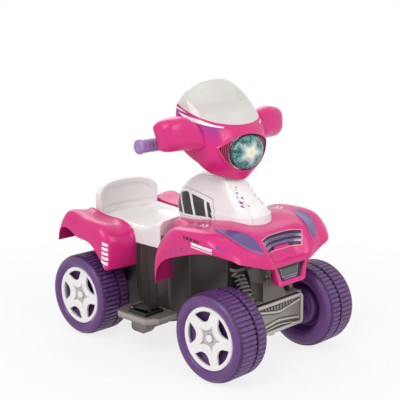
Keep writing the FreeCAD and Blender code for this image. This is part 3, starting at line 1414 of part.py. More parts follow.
def pedal_pin_rod(radius):
    return rod(Vector(PEDAL_X0 + 8, PEDAL_Y0 + 6, BOARD_Z + PEDAL_BASE_T + 3), Y, radius,
               PEDAL_Y1 - PEDAL_Y0 - 12)


def pedal():
    """Stepped treadle with cross ribs, hinged at the rear and raised at the front."""
    hinge_z = BOARD_Z + PEDAL_BASE_T + 3
    x0, x1 = PEDAL_X0 + 3.2, PEDAL_X1 - 5
    y0, y1 = PEDAL_Y0 + 10.4, PEDAL_Y1 - 10.4
    plate = prism([
        Vector(x0, y0, hinge_z - 2.6), Vector(x1, y0, hinge_z + 3), Vector(x1, y0, hinge_z + 3 + PEDAL_T),
        Vector(x0 + 8, y0, hinge_z + 5), Vector(x0, y0, hinge_z + 4),
    ], Vector(0, y1 - y0, 0))
    top = prism([
        Vector(x0 + 12, y0 + 6, hinge_z + 4), Vector(x1 - 3, y0 + 6, hinge_z + 8),
        Vector(x1 - 3, y0 + 6, hinge_z + 12), Vector(x0 + 14, y0 + 6, hinge_z + 8.6),
    ], Vector(0, y1 - y0 - 12, 0))
    return plate.fuse(top).removeSplitter().cut(pedal_pin_rod(PEDAL_PIN_R + RUN))


def pedal_spring():
    """Short return coil under the front of the pedal."""
    radius, wire, turns = 5.0, 0.9, 3
    centre = Vector(PEDAL_X1 - 18, (PEDAL_Y0 + PEDAL_Y1) / 2, BOARD_Z + 2 + wire + FIT)
    rise = 8.7
    quarters = 4 * turns

    def at(q):
        a = q * math.pi / 2
        return centre + Vector(radius * math.cos(a), radius * math.sin(a), rise * q / quarters)

    arcs = [Part.Arc(at(q), at(q + 0.5), at(q + 1)).toShape() for q in range(quarters)]
    print("pedal spring: least gap between turns", round(rise / turns - 2 * wire, 2), "mm")
    return swept(Part.Wire(arcs), wire)


def body_screws():
    """Pan-head screws: deck to bracket and footrests to hull."""
    screws = []
    for x in (TUB_NOSE + 7.5, TUB_NOSE + 34):
        screw = rod(Vector(x, CHEEK_Y + 2, DECK_Z + FLANGE), Z, 3.3, 2.2)
        screws += [screw, mirrored(screw)]
    return Part.makeCompound(screws)


def build():
    rim = wheel()
    cap = hub_cap()
    corners = {
        "front_right": (FRONT_AXLE_X, -1), "front_left": (FRONT_AXLE_X, 1),
        "rear_right": (REAR_AXLE_X, -1), "rear_left": (REAR_AXLE_X, 1),
    }
    nodes = {}
    for name, (axle_x, side) in corners.items():
        nodes["wheel_" + name] = place_wheel(rim, axle_x, side)
        nodes["hub_cap_" + name] = place_wheel(cap, axle_x, side)
    for name, side in (("right", -1), ("left", 1)):
        nodes["footrest_" + name] = footrest(side)
        nodes["fender_lens_" + name] = fender_lens(side)
        nodes["hand_guard_" + name] = hand_guard(side)
        nodes["grip_" + name] = grip(side)
        nodes["shock_spring_" + name] = shock_spring(side)
    nodes["front_axle"] = axle_rod(FRONT_AXLE_X)
    nodes["front_axle_nuts"] = axle_nuts(FRONT_AXLE_X)
    nodes["rear_axle"] = axle_rod(REAR_AXLE_X)
    nodes["rear_axle_nuts"] = axle_nuts(REAR_AXLE_X)
    single = [
        chassis_tub, front_fairing, grille_panel, grille_bars, bumper_insert, rear_fender, seat_moulding,
        tank_moulding, nose_bracket, steering_bushes, steering_column, kingpin, front_beam,
        suspension_tower, shock_dampers, head_fairing, windshield, lamp_panel, lamp_louvres, lamp_lens,
        lamp_reflector, head_rear_cover, handlebar, bar_clamp, drive_gear, second_gear, first_gear,
        motor_pinion, gearbox_case, gearbox_cover, motor, battery, pedal_base, pedal, pedal_spring,
        body_screws,
    ]
    for make in single:
        nodes[make.__name__] = make()
    nodes["pedal_pin"] = pedal_pin_rod(PEDAL_PIN_R)
    return nodes


os.makedirs("parts", exist_ok=True)
for name, shape in build().items():
    shape.exportStep("parts/" + name + ".step")
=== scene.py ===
import json
import math

import bmesh
import bpy
import numpy as np
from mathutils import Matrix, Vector
from mathutils.bvhtree import BVHTree

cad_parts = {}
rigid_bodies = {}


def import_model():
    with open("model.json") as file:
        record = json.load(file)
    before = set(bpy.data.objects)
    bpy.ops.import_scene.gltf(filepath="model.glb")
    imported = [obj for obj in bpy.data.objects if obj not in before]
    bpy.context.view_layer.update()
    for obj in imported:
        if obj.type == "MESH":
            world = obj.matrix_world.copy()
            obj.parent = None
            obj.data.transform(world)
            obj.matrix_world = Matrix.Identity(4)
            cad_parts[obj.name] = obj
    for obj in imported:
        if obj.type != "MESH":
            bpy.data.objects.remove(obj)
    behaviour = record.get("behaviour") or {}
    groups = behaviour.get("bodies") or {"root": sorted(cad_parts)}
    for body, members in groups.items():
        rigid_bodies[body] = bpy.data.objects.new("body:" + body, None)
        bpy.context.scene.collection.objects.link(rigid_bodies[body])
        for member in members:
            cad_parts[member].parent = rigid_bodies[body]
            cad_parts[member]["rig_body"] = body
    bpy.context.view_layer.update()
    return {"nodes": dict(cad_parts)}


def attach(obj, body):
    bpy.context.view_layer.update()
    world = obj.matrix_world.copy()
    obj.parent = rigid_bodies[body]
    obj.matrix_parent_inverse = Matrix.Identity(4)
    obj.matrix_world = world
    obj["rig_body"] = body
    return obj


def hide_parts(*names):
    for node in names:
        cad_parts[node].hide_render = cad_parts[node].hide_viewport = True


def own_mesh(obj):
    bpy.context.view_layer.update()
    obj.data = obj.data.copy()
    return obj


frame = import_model()


# Hull: the grey tub between the wheels, moulded in one piece from polypropylene with a little metal
# flake in it. The fenders, seat and tank screw down on its rim, and it holds battery and drive.

FRONT_AXLE = 243.75
REAR_AXLE = -243.75
AXLE_HEIGHT = 110.0
HULL_GREY = "443E3B"


class Field:
    """One output of a shader; arithmetic on it adds the Math nodes that work the result out."""

    def __init__(self, finish, socket):
        self.finish = finish
        self.socket = socket

    def math(self, operation, *others):
        return self.finish.add("ShaderNodeMath", {"operation": operation}, [self, *others])

    def __add__(self, other):
        return self.math("ADD", other)

    def __sub__(self, other):
        return self.math("SUBTRACT", other)

    def __rsub__(self, other):
        return self.finish.add("ShaderNodeMath", {"operation": "SUBTRACT"}, [other, self])

    def __mul__(self, other):
        return self.math("MULTIPLY", other)

    def __truediv__(self, other):
        return self.math("DIVIDE", other)

    def __and__(self, other):
        return self.math("MINIMUM", other)

    def __or__(self, other):
        return self.math("MAXIMUM", other)

    def __abs__(self):
        return self.math("ABSOLUTE")

    __radd__ = __add__
    __rmul__ = __mul__

    def below(self, edge, soft=0.25):
        """1 where the field is under an edge, fading to 0 across a soft border."""
        return self.finish.add(
            "ShaderNodeMapRange", {"interpolation_type": "SMOOTHSTEP"},
            {"Value": self, "From Min": edge - soft, "From Max": edge + soft, "To Min": 1.0, "To Max": 0.0})

    def above(self, edge, soft=0.25):
        """1 where the field is over an edge, fading to 0 across a soft border."""
        return 1 - self.below(edge, soft)

    def near(self, centre, half, soft=0.25):
        """1 within a half width of a centre value."""
        return abs(self - centre).below(half, soft)


def colour(code):
    """Linear colour of a six-digit sRGB code."""
    parts = np.array([int(code[k:k + 2], 16) for k in (0, 2, 4)]) / 255
    linear = np.where(parts <= 0.04045, parts / 12.92, ((parts + 0.055) / 1.055) ** 2.4)
    return (*linear, 1.0)


class Finish:
    """A material: one Principled surface, and the nodes that vary it from place to place."""

    def __init__(self, name, **sockets):
        self.material = bpy.data.materials.new(name)
        self.material.use_nodes = True
        self.tree = self.material.node_tree
        self.surface = self.tree.nodes["Principled BSDF"]
        self.skin = None
        self.set(**sockets)

    def join(self, value, socket):
        if isinstance(value, Field):
            self.tree.links.new(value.socket, socket)
        else:
            socket.default_value = value

    def add(self, kind, settings=None, inputs=(), out=0):
        """Adds a node: its settings first, then values or links for its inputs, by name or in order."""
        node = self.tree.nodes.new(kind)
        for key, value in (settings or {}).items():
            setattr(node, key, value)
        for key, value in inputs.items() if isinstance(inputs, dict) else enumerate(inputs):
            self.join(value, node.inputs[key])
        return Field(self, node.outputs[out])

    def set(self, **sockets):
        """Sets the surface's sockets: base_color means Base Color."""
        for key, value in sockets.items():
            self.join(value, self.surface.inputs[key.replace("_", " ").title()])

    def place(self):
        """Position on the piece in millimetres, as three fields."""
        point = self.add("ShaderNodeTexCoord", out="Object")
        axes = self.add("ShaderNodeSeparateXYZ", None, [point])
        return [Field(self, socket) * 1000 for socket in axes.socket.node.outputs]

    def facing(self):
        """The surface's own direction, as three fields."""
        normal = self.add("ShaderNodeNewGeometry", out="Normal")
        axes = self.add("ShaderNodeSeparateXYZ", None, [normal])
        return [Field(self, socket) for socket in axes.socket.node.outputs]

    def noise(self, size, detail=2.0):
        """Smooth random field from 0 to 1 with lumps of about that size in millimetres."""
        point = self.add("ShaderNodeTexCoord", out="Object")
        sockets = {"Vector": point, "Scale": 1000 / size, "Detail": detail}
        return self.add("ShaderNodeTexNoise", None, sockets)

    def mix(self, share, under, over):
        """Colour that goes from under to over as the share goes from 0 to 1."""
        sockets = {0: share, 6: under, 7: over}
        return self.add("ShaderNodeMix", {"data_type": "RGBA"}, sockets, out=2)

    def relief(self, height):
        """Bumps the surface by a height in millimetres, over the bumps that it already has."""
        sockets = {"Strength": 1.0, "Distance": 0.001, "Height": height}
        if self.skin:
            sockets["Normal"] = self.skin
        self.skin = self.add("ShaderNodeBump", None, sockets)
        self.set(normal=self.skin)


def moulded(name, shade, rough=0.3, drift=0.10, skin=0.03, grain=1.1, dull=0.08):
    """Moulded plastic: the colour drifts a little, the gloss is uneven, and a fine skin breaks highlights.

    Returns the finish and its colour field, so that prints can be laid over it.
    """
    finish = Finish(name)
    patch = finish.noise(70)
    dark = [c * (1 - drift) for c in colour(shade)[:3]] + [1.0]
    light = [min(1.0, c * (1 + drift)) for c in colour(shade)[:3]] + [1.0]
    base = finish.mix(patch, dark, light)
    finish.set(base_color=base, roughness=finish.noise(9, 4) * dull + (rough - dull / 2))
    finish.relief(finish.noise(grain, 3) * skin)
    return finish, base


def dress(node, finish, sharp=32.0, form=None):
    """A copy of a CAD node with its triangles joined and its curved faces shaded as curves.

    A form, if there is one, takes the copy's points in millimetres and gives back where they go.
    """
    source = frame["nodes"][node]
    mesh = source.data.copy()
    joined = bmesh.new()
    joined.from_mesh(mesh)
    bmesh.ops.remove_doubles(joined, verts=joined.verts, dist=2e-5)
    if form:
        for vertex in joined.verts:
            vertex.co = form(np.array(vertex.co) * 1000) / 1000
    joined.to_mesh(mesh)
    joined.free()
    mesh.shade_smooth()
    mesh.set_sharp_from_angle(angle=math.radians(sharp))
    mesh.materials.clear()
    mesh.materials.append(finish.material)
    piece = bpy.data.objects.new(node + "_finished", mesh)
    bpy.context.scene.collection.objects.link(piece)
    even = piece.modifiers.new("even_shading", "WEIGHTED_NORMAL")
    even.keep_sharp = True
    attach(piece, source["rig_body"])
    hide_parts(node)
    return piece


def flaked(name, shade, rough=0.38):
    """Grey plastic with metal flake: fine bright specks, a soft sheen and a slightly rough skin."""
    finish, base = moulded(name, shade, rough, drift=0.12, skin=0.05, grain=0.9)
    speck = finish.noise(0.8, 1).above(0.66, 0.05)
    bright = [min(1.0, c * 1.9 + 0.02) for c in colour(shade)[:3]] + [1.0]
    finish.set(base_color=finish.mix(speck * 0.35, base, bright), metallic=speck * 0.5 + 0.18)
    return finish


hull_grey = flaked("hull_grey", HULL_GREY)
dress("chassis_tub", hull_grey, 28)


# Footrests: two grey boards of the same flaked plastic, one on each side of the hull, each with a
# lipped edge, a few raised grip ribs and a deep block under it. They bolt to the hull's flanks.

BOARD_UNDERSIDE = 84.0

board_grey = flaked("board_grey", "A79F99", 0.36)
# Painted shade: faces that look upwards are painted darker, with random scuffs in that colour, and the
# block under each board is painted darker towards its foot.
shaded_top = board_grey.facing()[2].above(0.6, 0.3)
scuff = board_grey.noise(14, 4).above(0.52, 0.2)
scuffed_shaded_top = board_grey.mix(scuff, colour("6A625E"), colour("7F7772"))
under = board_grey.place()[2].below(BOARD_UNDERSIDE, 8)
flank = board_grey.mix(under, colour("A79F99"), colour("77706B"))
board_grey.set(base_color=board_grey.mix(shaded_top * 0.85, flank, scuffed_shaded_top))
dress("footrest_right", board_grey, 28)
dress("footrest_left", board_grey, 28)


# Pedal: a black stepped plate on a pin across its heel, in a black base screwed to the right board.
# A small steel coil under the toe lifts it again.

TREAD_PITCH = 4.5

pedal_black = moulded("pedal_black", "211F20", 0.48, skin=0.06)[0]
along_x = pedal_black.place()[0]
tread = (along_x / TREAD_PITCH).math("FRACT").near(0.5, 0.28, 0.12)
# Painted shade: the grooves between the tread ribs are painted darker than the ribs.
pedal_black.set(base_color=pedal_black.mix(tread, colour("161516"), colour("2E2B2C")))
pedal_black.relief(tread * 0.5)
dress("pedal", pedal_black)

base_black = moulded("base_black", "1B1A1B", 0.5)[0]
dress("pedal_base", base_black)


def steel(name, shade, rough=0.3):
    """Plated steel: bright metal with fine drawn lines and duller patches."""
    finish = Finish(name, metallic=1.0)
    patch = finish.noise(9, 3)
    dull = [c * 0.78 for c in colour(shade)[:3]] + [1.0]
    finish.set(base_color=finish.mix(patch, dull, colour(shade)), roughness=patch * 0.2 + (rough - 0.08))
    finish.relief(finish.noise(0.7, 2) * 0.01)
    return finish


zinc = steel("zinc_plate", "B9B8B6")
dress("pedal_pin", zinc)
coil = dress("pedal_spring", zinc, 60)
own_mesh(coil)
dress("body_screws", zinc)


# Drive: a small can motor, two black gearbox halves and three stages of natural nylon gears, inside
# the hull beside the right rear wheel, with a sealed battery in the middle of the floor.

nylon = moulded("gear_nylon", "E2DCCB", 0.42)[0]
for node in ("drive_gear", "second_gear", "first_gear"):
    dress(node, nylon, 24)
dress("motor_pinion", steel("pinion_steel", "8F8E8C", 0.35), 24)
dress("motor", steel("motor_can", "A9A8A5", 0.26))
for node in ("gearbox_case", "gearbox_cover"):
    dress(node, base_black)
battery_case = moulded("battery_case", "2A2A2E", 0.5)[0]
dress("battery", battery_case)


# Axles: two bare steel rods with a nut on each end. The rear one is fixed through the hull and the
# front one through the beam, and the wheels run free on them.

for node in ("rear_axle", "front_axle", "rear_axle_nuts", "front_axle_nuts"):
    dress(node, zinc)


# Wheels: hollow blow-moulded plastic wheels in purple with chunky cross lugs in two bands. Each runs
# on its axle rod, and the right rear one is driven by dogs on the last gear.

WHEEL_SIDE = 173.5


def wheel_place(finish):
    """Distance from the nearest axle's line, and distance outboard of the wheel's middle."""
    along_x, across_y, height_z = finish.place()
    forward = abs(along_x) - FRONT_AXLE
    upward = height_z - AXLE_HEIGHT
    return (forward * forward + upward * upward).math("SQRT"), abs(across_y) - WHEEL_SIDE


tyre_purple, base = moulded("tyre_purple", "64387A", 0.38, drift=0.12, skin=0.05, grain=1.6)
radius, outboard = wheel_place(tyre_purple)
tread_top = radius.above(108.6, 1.0)
scuff = tyre_purple.noise(6, 5).above(0.58, 0.12) & tread_top
grime = tyre_purple.noise(11, 5).below(0.5, 0.1) & radius.above(104, 2)
# Painted shade: the gaps between the lugs and the groove between the two bands are painted dark.
lug_gap_shade = radius.below(108.6, 0.7) & radius.above(105.0, 1.2)
groove_shade = outboard.near(-9, 3.6, 0.8) & radius.above(100, 1)
worn = tyre_purple.mix(scuff * 0.4, base, colour("8E6CA0"))
grimed = tyre_purple.mix(grime * 0.5, worn, colour("47255A"))
lug_gaps_shaded = tyre_purple.mix(lug_gap_shade * 0.85, grimed, colour("341A42"))
tyre_purple.set(base_color=tyre_purple.mix(groove_shade * 0.8, lug_gaps_shaded, colour("2C1636")),
                roughness=scuff * 0.18 + 0.38)
sidewall = (radius.near(99, 1.1, 0.6) | radius.near(84.5, 0.8, 0.5)) & outboard.above(30, 4)
tyre_purple.relief(sidewall * 0.8 + (scuff + grime) * 0.5)

cap_white, base = moulded("cap_white", "F1EFED", 0.26, drift=0.02, skin=0.008, grain=2.0)
cap_white.set(coat_weight=0.25, coat_roughness=0.1)
radius, outboard = wheel_place(cap_white)
# Painted shade: the star recess is painted grey, and a dark ring is painted round the foot of the middle
# boss.
painted_star = outboard.below(39.2, 0.7) & radius.below(37, 0.8)
shade = cap_white.mix(painted_star * 0.9, base, colour("BCB6B1"))
boss_foot_shade = radius.near(10.4, 0.8, 0.3) & outboard.below(39.5, 0.8)
cap_white.set(base_color=cap_white.mix(boss_foot_shade * 0.8, shade, colour("5B5654")))


def surface(name, points, faces):
    """A piece from arrays of points and faces, joined at its seams and poles and facing outwards."""
    mesh = bpy.data.meshes.new(name)
    mesh.from_pydata(points.tolist(), [], faces.tolist())
    shell = bmesh.new()
    shell.from_mesh(mesh)
    bmesh.ops.remove_doubles(shell, verts=shell.verts, dist=1e-6)
    bmesh.ops.recalc_face_normals(shell, faces=shell.faces)
    shell.to_mesh(mesh)
    shell.free()
    mesh.shade_smooth()
    piece = bpy.data.objects.new(name, mesh)
    bpy.context.scene.collection.objects.link(piece)
    return piece


def fit(piece, node, finish):
    """Gives a piece its finish and sets it on a node's body."""
    piece.data.materials.append(finish.material)
    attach(piece, frame["nodes"][node]["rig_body"])


def grid_faces(rows, columns):
    """Quads between the points of a grid that is given row after row."""
    i, j = np.meshgrid(np.arange(rows - 1), np.arange(columns - 1), indexing="ij")
    at = i * columns + j
    return np.stack([at, at + 1, at + columns + 1, at + columns], -1).reshape(-1, 4)


DISH_PROFILE = [(38, 47), (42, 47), (47, 45.5), (50.5, 41), (51.5, 34), (52, 26),
                (55, 23.5), (59, 24), (62, 29), (65, 33), (67, 38), (70, 41)]
DISH_STEPS = 56
DISH_TURNS = 97
DISH_WALL = 0.0012


def rounded(values):
    """Values drawn out over the dish's steps, each averaged with its neighbours."""
    drawn = np.interp(np.linspace(0, len(values) - 1, DISH_STEPS), np.arange(len(values)), values)
    return np.convolve(np.pad(drawn, 2, mode="edge"), np.ones(5) / 5, "valid")


def wheel_dish(name, axle, side):
    """Inner face of a wheel: the profile of radius and depth inboard, rounded by averaging, turned about
    the axle as radius times the cosine and sine of the angle."""
    radius, inboard = [rounded(values) for values in np.array(DISH_PROFILE, float).T]
    angle = np.linspace(0, 2 * np.pi, DISH_TURNS)[:, None]
    across = np.broadcast_to(side * (WHEEL_SIDE - inboard), (DISH_TURNS, DISH_STEPS))
    points = np.stack([axle + radius * np.cos(angle), across, AXLE_HEIGHT + radius * np.sin(angle)], -1)
    piece = surface(name, points.reshape(-1, 3) / 1000, grid_faces(DISH_TURNS, DISH_STEPS))
    wall = piece.modifiers.new("wall", "SOLIDIFY")
    wall.thickness = DISH_WALL
    return piece


dish_purple = moulded("dish_purple", "64387A", 0.36, drift=0.12, skin=0.02)[0]
for corner in ("front_right", "front_left", "rear_right", "rear_left"):
    dress("wheel_" + corner, tyre_purple, 26)
    dress("hub_cap_" + corner, cap_white, 30)
    axle = FRONT_AXLE if "front" in corner else REAR_AXLE
    dish = wheel_dish("wheel_dish_" + corner, axle, 1 if "left" in corner else -1)
    fit(dish, "wheel_" + corner, dish_purple)


# Front unit: a silver beam across the front axle with arms and louvres in relief, a dark leaning tower
# that turns on the kingpin, and two dummy dampers with open coil springs between the two.

beam_silver = flaked("beam_silver", "B4ADA7", 0.28)
along_x, across_y, height_z = beam_silver.place()
span = along_x - FRONT_AXLE
rise = height_z - AXLE_HEIGHT
# Painted shade: the floor of the pocket in the beam's face is painted dark.
recess_shade = span.below(29.5, 0.8) & span.above(27, 0.5)
pocket_shade = recess_shade & rise.near(10, 29.5, 1) & abs(across_y).near(51, 40.5, 1)
wear = beam_silver.noise(20, 4).above(0.5, 0.25)
face = beam_silver.mix(wear * 0.5, colour("B4ADA7"), colour("958E88"))
beam_silver.set(base_color=beam_silver.mix(pocket_shade, face, colour("5E5752")))
dress("front_beam", beam_silver, 24)


PLATE_HALF = 100.0
PLATE_LOW, PLATE_HIGH = -29.0, 55.5
PLATE_FACE = 36.0
PLATE_FOLD = 24.0
PLATE_LEAN = 3 / 64
PLATE_TAPER = 7.0
PLATE_CORNER = 13.0
ARM_BEND = 14.0
ARM_REACH = 82.0
LOUVRE_PITCH = 11.5


def ridge(distance, half, high):
    """Half-round bar: a quarter circle's height on each side of its middle line."""
    return high * np.sqrt(np.clip(1 - (distance / half) ** 2, 0, 1))


def beam_plate():
    """Height over the beam's leaning face on a grid: a round border, two pairs of arms that spread from the
    middle, upright louvres pressed in above them, and an edge row folded back into the beam."""
    share, level = np.meshgrid(np.linspace(-1, 1, 301), np.linspace(0, 1, 111))
    rise = PLATE_LOW + (PLATE_HIGH - PLATE_LOW) * level
    off = np.abs(rise - (PLATE_LOW + PLATE_HIGH) / 2)
    tall = (PLATE_HIGH - PLATE_LOW) / 2
    corner = np.clip(off - (tall - PLATE_CORNER), 0, PLATE_CORNER)
    half = PLATE_HALF - PLATE_TAPER * level - (PLATE_CORNER - np.sqrt(PLATE_CORNER ** 2 - corner ** 2))
    side = share * half
    rim = np.minimum(half - np.abs(side), tall - off)
    spread = np.sqrt(side ** 2 + ARM_BEND ** 2) - ARM_BEND
    upper = 25 + 0.20 * spread
    lower = 1 - 0.15 * spread
    reach = np.clip((ARM_REACH - np.abs(side)) / 4, 0, 1)
    louvre = np.clip(2.2 * np.cos(side * (2 * np.pi / LOUVRE_PITCH)) - 0.1, 0, 1)
    louvre = louvre * ((rise > upper + 7) & (rise < 46) & (np.abs(side) < 68))
    height = ridge(rim - 5, 5, 3.6) - 1.6 * ridge(rim - 11.4, 1.7, 1) - 3.2 * louvre
    for line, wide in ((upper, 3.2), (lower, 3.2), (lower - 12, 2.0)):
        off_line = np.abs(rise - line)
        gutter = 1.6 * ridge(off_line - wide - 1.5, 1.5, 1)
        height = height + reach * (ridge(off_line, wide, wide) - gutter)
    ahead = PLATE_FACE + (rise + 24) * PLATE_LEAN + height
    grid = np.stack([FRONT_AXLE + ahead, side, AXLE_HEIGHT + rise], -1)
    grid = np.pad(grid, ((1, 1), (1, 1), (0, 0)), mode="edge")
    for edge in (grid[0], grid[-1], grid[:, 0], grid[:, -1]):
        edge[:, 0] = FRONT_AXLE + PLATE_FOLD
    return surface("beam_plate", grid.reshape(-1, 3) / 1000, grid_faces(*grid.shape[:2]))


cast_silver = flaked("cast_silver", "B4ADA7", 0.26)
along_x, _, height_z = cast_silver.place()
depth = along_x - FRONT_AXLE - PLATE_FACE - (height_z - AXLE_HEIGHT + 24) * PLATE_LEAN
# Painted shade: the plate is painted darker where it sinks below its face, and near black where it sinks
# deepest.
recess_shade = cast_silver.mix(depth.below(0.8, 0.5), colour("BDB6B0"), colour("8F8883"))
cast_silver.set(base_color=cast_silver.mix(depth.below(-0.6, 0.5), recess_shade, colour("3A3532")))
fit(beam_plate(), "front_beam", cast_silver)

tower_black = flaked("tower_black", "6E6763", 0.24)
dress("suspension_tower", tower_black, 26)
dress("shock_dampers", tower_black, 26)
dress("nose_bracket", tower_black, 26)
spring_grey = moulded("spring_grey", "8F8A86", 0.24)[0]
dress("shock_spring_right", spring_grey, 60)
dress("shock_spring_left", spring_grey, 60)
dress("kingpin", zinc)
dress("steering_column", zinc)
dress("steering_bushes", nylon)


# Rear fenders: one glossy pink moulding with both wheel arches and the wall across the tail. It
# drops over the hull's rim, and the seat skirts hide its inner edges. Printed film on the flanks.

BODY_PINK = "D22478"
FILM_BLACK = "1B1719"
FILM_WHITE = "F1EEEF"
FILM_PURPLE = "6B4A93"


def region(u, v, corners):
    """Signed distance inside a convex outline given anticlockwise in u and v, in millimetres."""
    inside = None
    for (u0, v0), (u1, v1) in zip(corners, corners[1:] + corners[:1]):
        long = math.hypot(u1 - u0, v1 - v0)
        edge = (v - v0) * ((u1 - u0) / long) - (u - u0) * ((v1 - v0) / long)
        inside = edge if inside is None else inside & edge
    return inside


def gloss_pink(name):
    """The body's pink: clear-coated moulded plastic with a very fine skin."""
    finish, base = moulded(name, BODY_PINK, 0.3, drift=0.06, skin=0.02, grain=1.4)
    finish.set(coat_weight=0.12, coat_roughness=0.12)
    finish.surface.inputs["Specular IOR Level"].default_value = 0.36
    return finish, base


fender_pink, base = gloss_pink("fender_pink")
along_x, across_y, height_z = fender_pink.place()
span = along_x - REAR_AXLE
rise = height_z - AXLE_HEIGHT
flank = abs(across_y).above(196, 2)
patch = region(span, rise, [(93, 98), (110, 100), (103, 158), (91, 164)])
rung = ((rise + span * 0.45) / 11.5).math("FRACT").near(0.5, 0.31, 0.04)
fender_pink.set(base_color=fender_pink.mix(patch.above(0) & rung & flank, base, colour(FILM_WHITE)))
dress("rear_fender", fender_pink, 34)


# Seat: a white gloss moulding with a dished pan, a rolled rim and skirts that hang inside the
# fenders. Its backrest is part of the same moulding and wraps forward at both ends.

SEAT_WHITE = "EFEDEB"

seat_white = moulded("seat_white", SEAT_WHITE, 0.27, drift=0.02, skin=0.006, grain=2.4, dull=0.02)[0]
seat_white.set(coat_weight=0.25, coat_roughness=0.1)
dress("seat_moulding", seat_white, 34)


# Tank: a white gloss moulding that stands through the hood and narrows to the neck under the head.
# A crease parts its side panels from the front, and printed film decorates the panels.

tank_white, base = moulded("tank_white", SEAT_WHITE, 0.26, drift=0.02, skin=0.006, grain=2.4, dull=0.02)
tank_white.set(coat_weight=0.3, coat_roughness=0.1)
along_x, across_y, height_z = tank_white.place()
span = along_x - FRONT_AXLE
rise = height_z - AXLE_HEIGHT
flank = abs(across_y).above(34, 2)
slant = span + rise * 0.42
bars = (slant / 38).math("FRACT").near(0.5, 0.41, 0.02)
panel = region(span, rise, [(-258, 250), (-124, 250), (-146, 284),
                            (-215, 308), (-246, 300), (-264, 272)])
pressed = region(span, rise, [(-268, 244), (-114, 244), (-140, 294),
                              (-213, 318), (-252, 309), (-274, 272)])
black = bars & panel.above(0, 0.4) & flank
# Painted shade: a grey line is painted along the pressed edge round each side panel.
shaded = tank_white.mix(pressed.near(0, 1.1, 0.8) * flank * 0.45, base, colour("A9A4A0"))
printed = tank_white.mix(black, shaded, colour(FILM_BLACK))
tank_white.relief(pressed.below(0, 1.5) * flank * 2.2)


def lozenges(side, rise, places):
    """1 inside small upright lozenges, each given by its middle and half height."""
    marks = [(abs(side - u) * 1.25 + abs(rise - v)).below(half, 0.35) for u, v, half in places]
    union = marks[0]
    for mark in marks[1:]:
        union = union | mark
    return union


side = abs(across_y)
front = span.above(-125, 4)
purple = lozenges(side, rise, [(23, 327, 2.4), (29, 314, 3.2), (24, 303, 4.0),
                               (34, 293, 4.6), (25, 286, 2.8)])
rose = lozenges(side, rise, [(28, 322, 2.0), (33, 305, 2.4), (27, 294, 2.2), (39, 285, 3.8)])
dotted = tank_white.mix(purple & front, printed, colour(FILM_PURPLE))
tank_white.set(base_color=tank_white.mix(rose & front, dotted, colour("C2307F")))
dress("tank_moulding", tank_white, 34)


# Front bodywork: one large pink moulding of hood, nose, both fenders and their mud flaps, with a
# shield-shaped bumper loop under the nose. It screws to the deck on four posts.

hood_pink, base = gloss_pink("hood_pink")
along_x, across_y, height_z = hood_pink.place()
span = along_x - FRONT_AXLE
side = abs(across_y)
rise = height_z - AXLE_HEIGHT
mouth = region(side, rise, [(-90, 190), (62, 190), (76, 222), (40, 227), (-90, 229)])
frame_line = mouth.near(-1.0, 0.8, 0.4) & span.above(8, 2)
trimmed = hood_pink.mix(frame_line * 0.6, base, colour("D9C6D4"))
flank = side.above(186, 2)
bars = ((span + rise * 0.4) / 12).math("FRACT").near(0.5, 0.36, 0.03)
dark_bar = (rise + (span + 60) * 0.1).near(230.5, 3.6) & span.near(-62, 26) & bars & flank
lined = hood_pink.mix(dark_bar, trimmed, colour(FILM_BLACK))
stripe = rise + (span + 28) * 0.1
white_bar = (stripe.near(219, 3.0) | stripe.near(211.6, 1.5)) & span.near(-28, 32) & flank
banded = hood_pink.mix(white_bar, lined, colour(FILM_WHITE))
low = lozenges(span, rise, [(-146, 184, 4.2), (-128, 193, 5.6), (-108, 196, 4.4), (-92, 204, 6.0),
                            (-76, 207, 4.0), (14, 222, 5.2), (25, 216, 3.6)]) & flank
spotted = hood_pink.mix(low, banded, colour(FILM_PURPLE))
crown = side.near(143, 12, 0.5) & span.near(-98, 46, 0.5) & rise.above(225, 4)
arrow = span + abs(side - 143) * 0.8
bright = (arrow.near(-76, 3.2) | arrow.near(-90, 3.2)) & crown
topped = hood_pink.mix(bright, spotted, colour(FILM_WHITE))
violet = arrow.near(-64, 2.4) | arrow.near(-104, 2.4) | arrow.near(-116, 1.8) | arrow.near(-126, 1.4)
violet = violet & crown
hood_pink.set(base_color=hood_pink.mix(violet, topped, colour(FILM_PURPLE)))
dress("front_fairing", hood_pink, 34)


# Fender lamps: two leaf-shaped purple lenses pressed on the slopes of the front fenders, with a thin
# pale rim and fine ribs moulded on their inner face.

lens_purple, base = moulded("lens_purple", "5C4382", 0.2, drift=0.10, skin=0.008)
along_x, across_y = lens_purple.place()[:2]
rib = ((along_x * 0.8 - abs(across_y) * 0.6) / 3.2).math("FRACT").near(0.5, 0.3, 0.2)
ribbed = lens_purple.mix(rib * 0.12, base, colour("8A70A6"))
forward, sideways, upward = lens_purple.facing()
outward = forward * 0.50 + upward * 0.86 + sideways * across_y.math("SIGN") * 0.10
lens_purple.set(base_color=lens_purple.mix(outward.below(0.62, 0.12) * 0.55, ribbed, colour("B9A4C8")),
                coat_weight=0.12, coat_roughness=0.08)
dress("fender_lens_right", lens_purple)
dress("fender_lens_left", lens_purple)


# Grille: a black plate behind the mouth of the nose, with two purple bars across it whose upward
# faces are painted lilac as a painted highlight.

mouth_black = moulded("mouth_black", "17131A", 0.4)[0]
dress("grille_panel", mouth_black)

bar_purple, base = moulded("bar_purple", "67467F", 0.24)
# Painted highlight: faces that look upwards are painted lilac.
top_highlight = bar_purple.facing()[2].above(0.35, 0.2)
bar_purple.set(base_color=bar_purple.mix(top_highlight, base, colour("B7A2CB")))
dress("grille_bars", bar_purple)

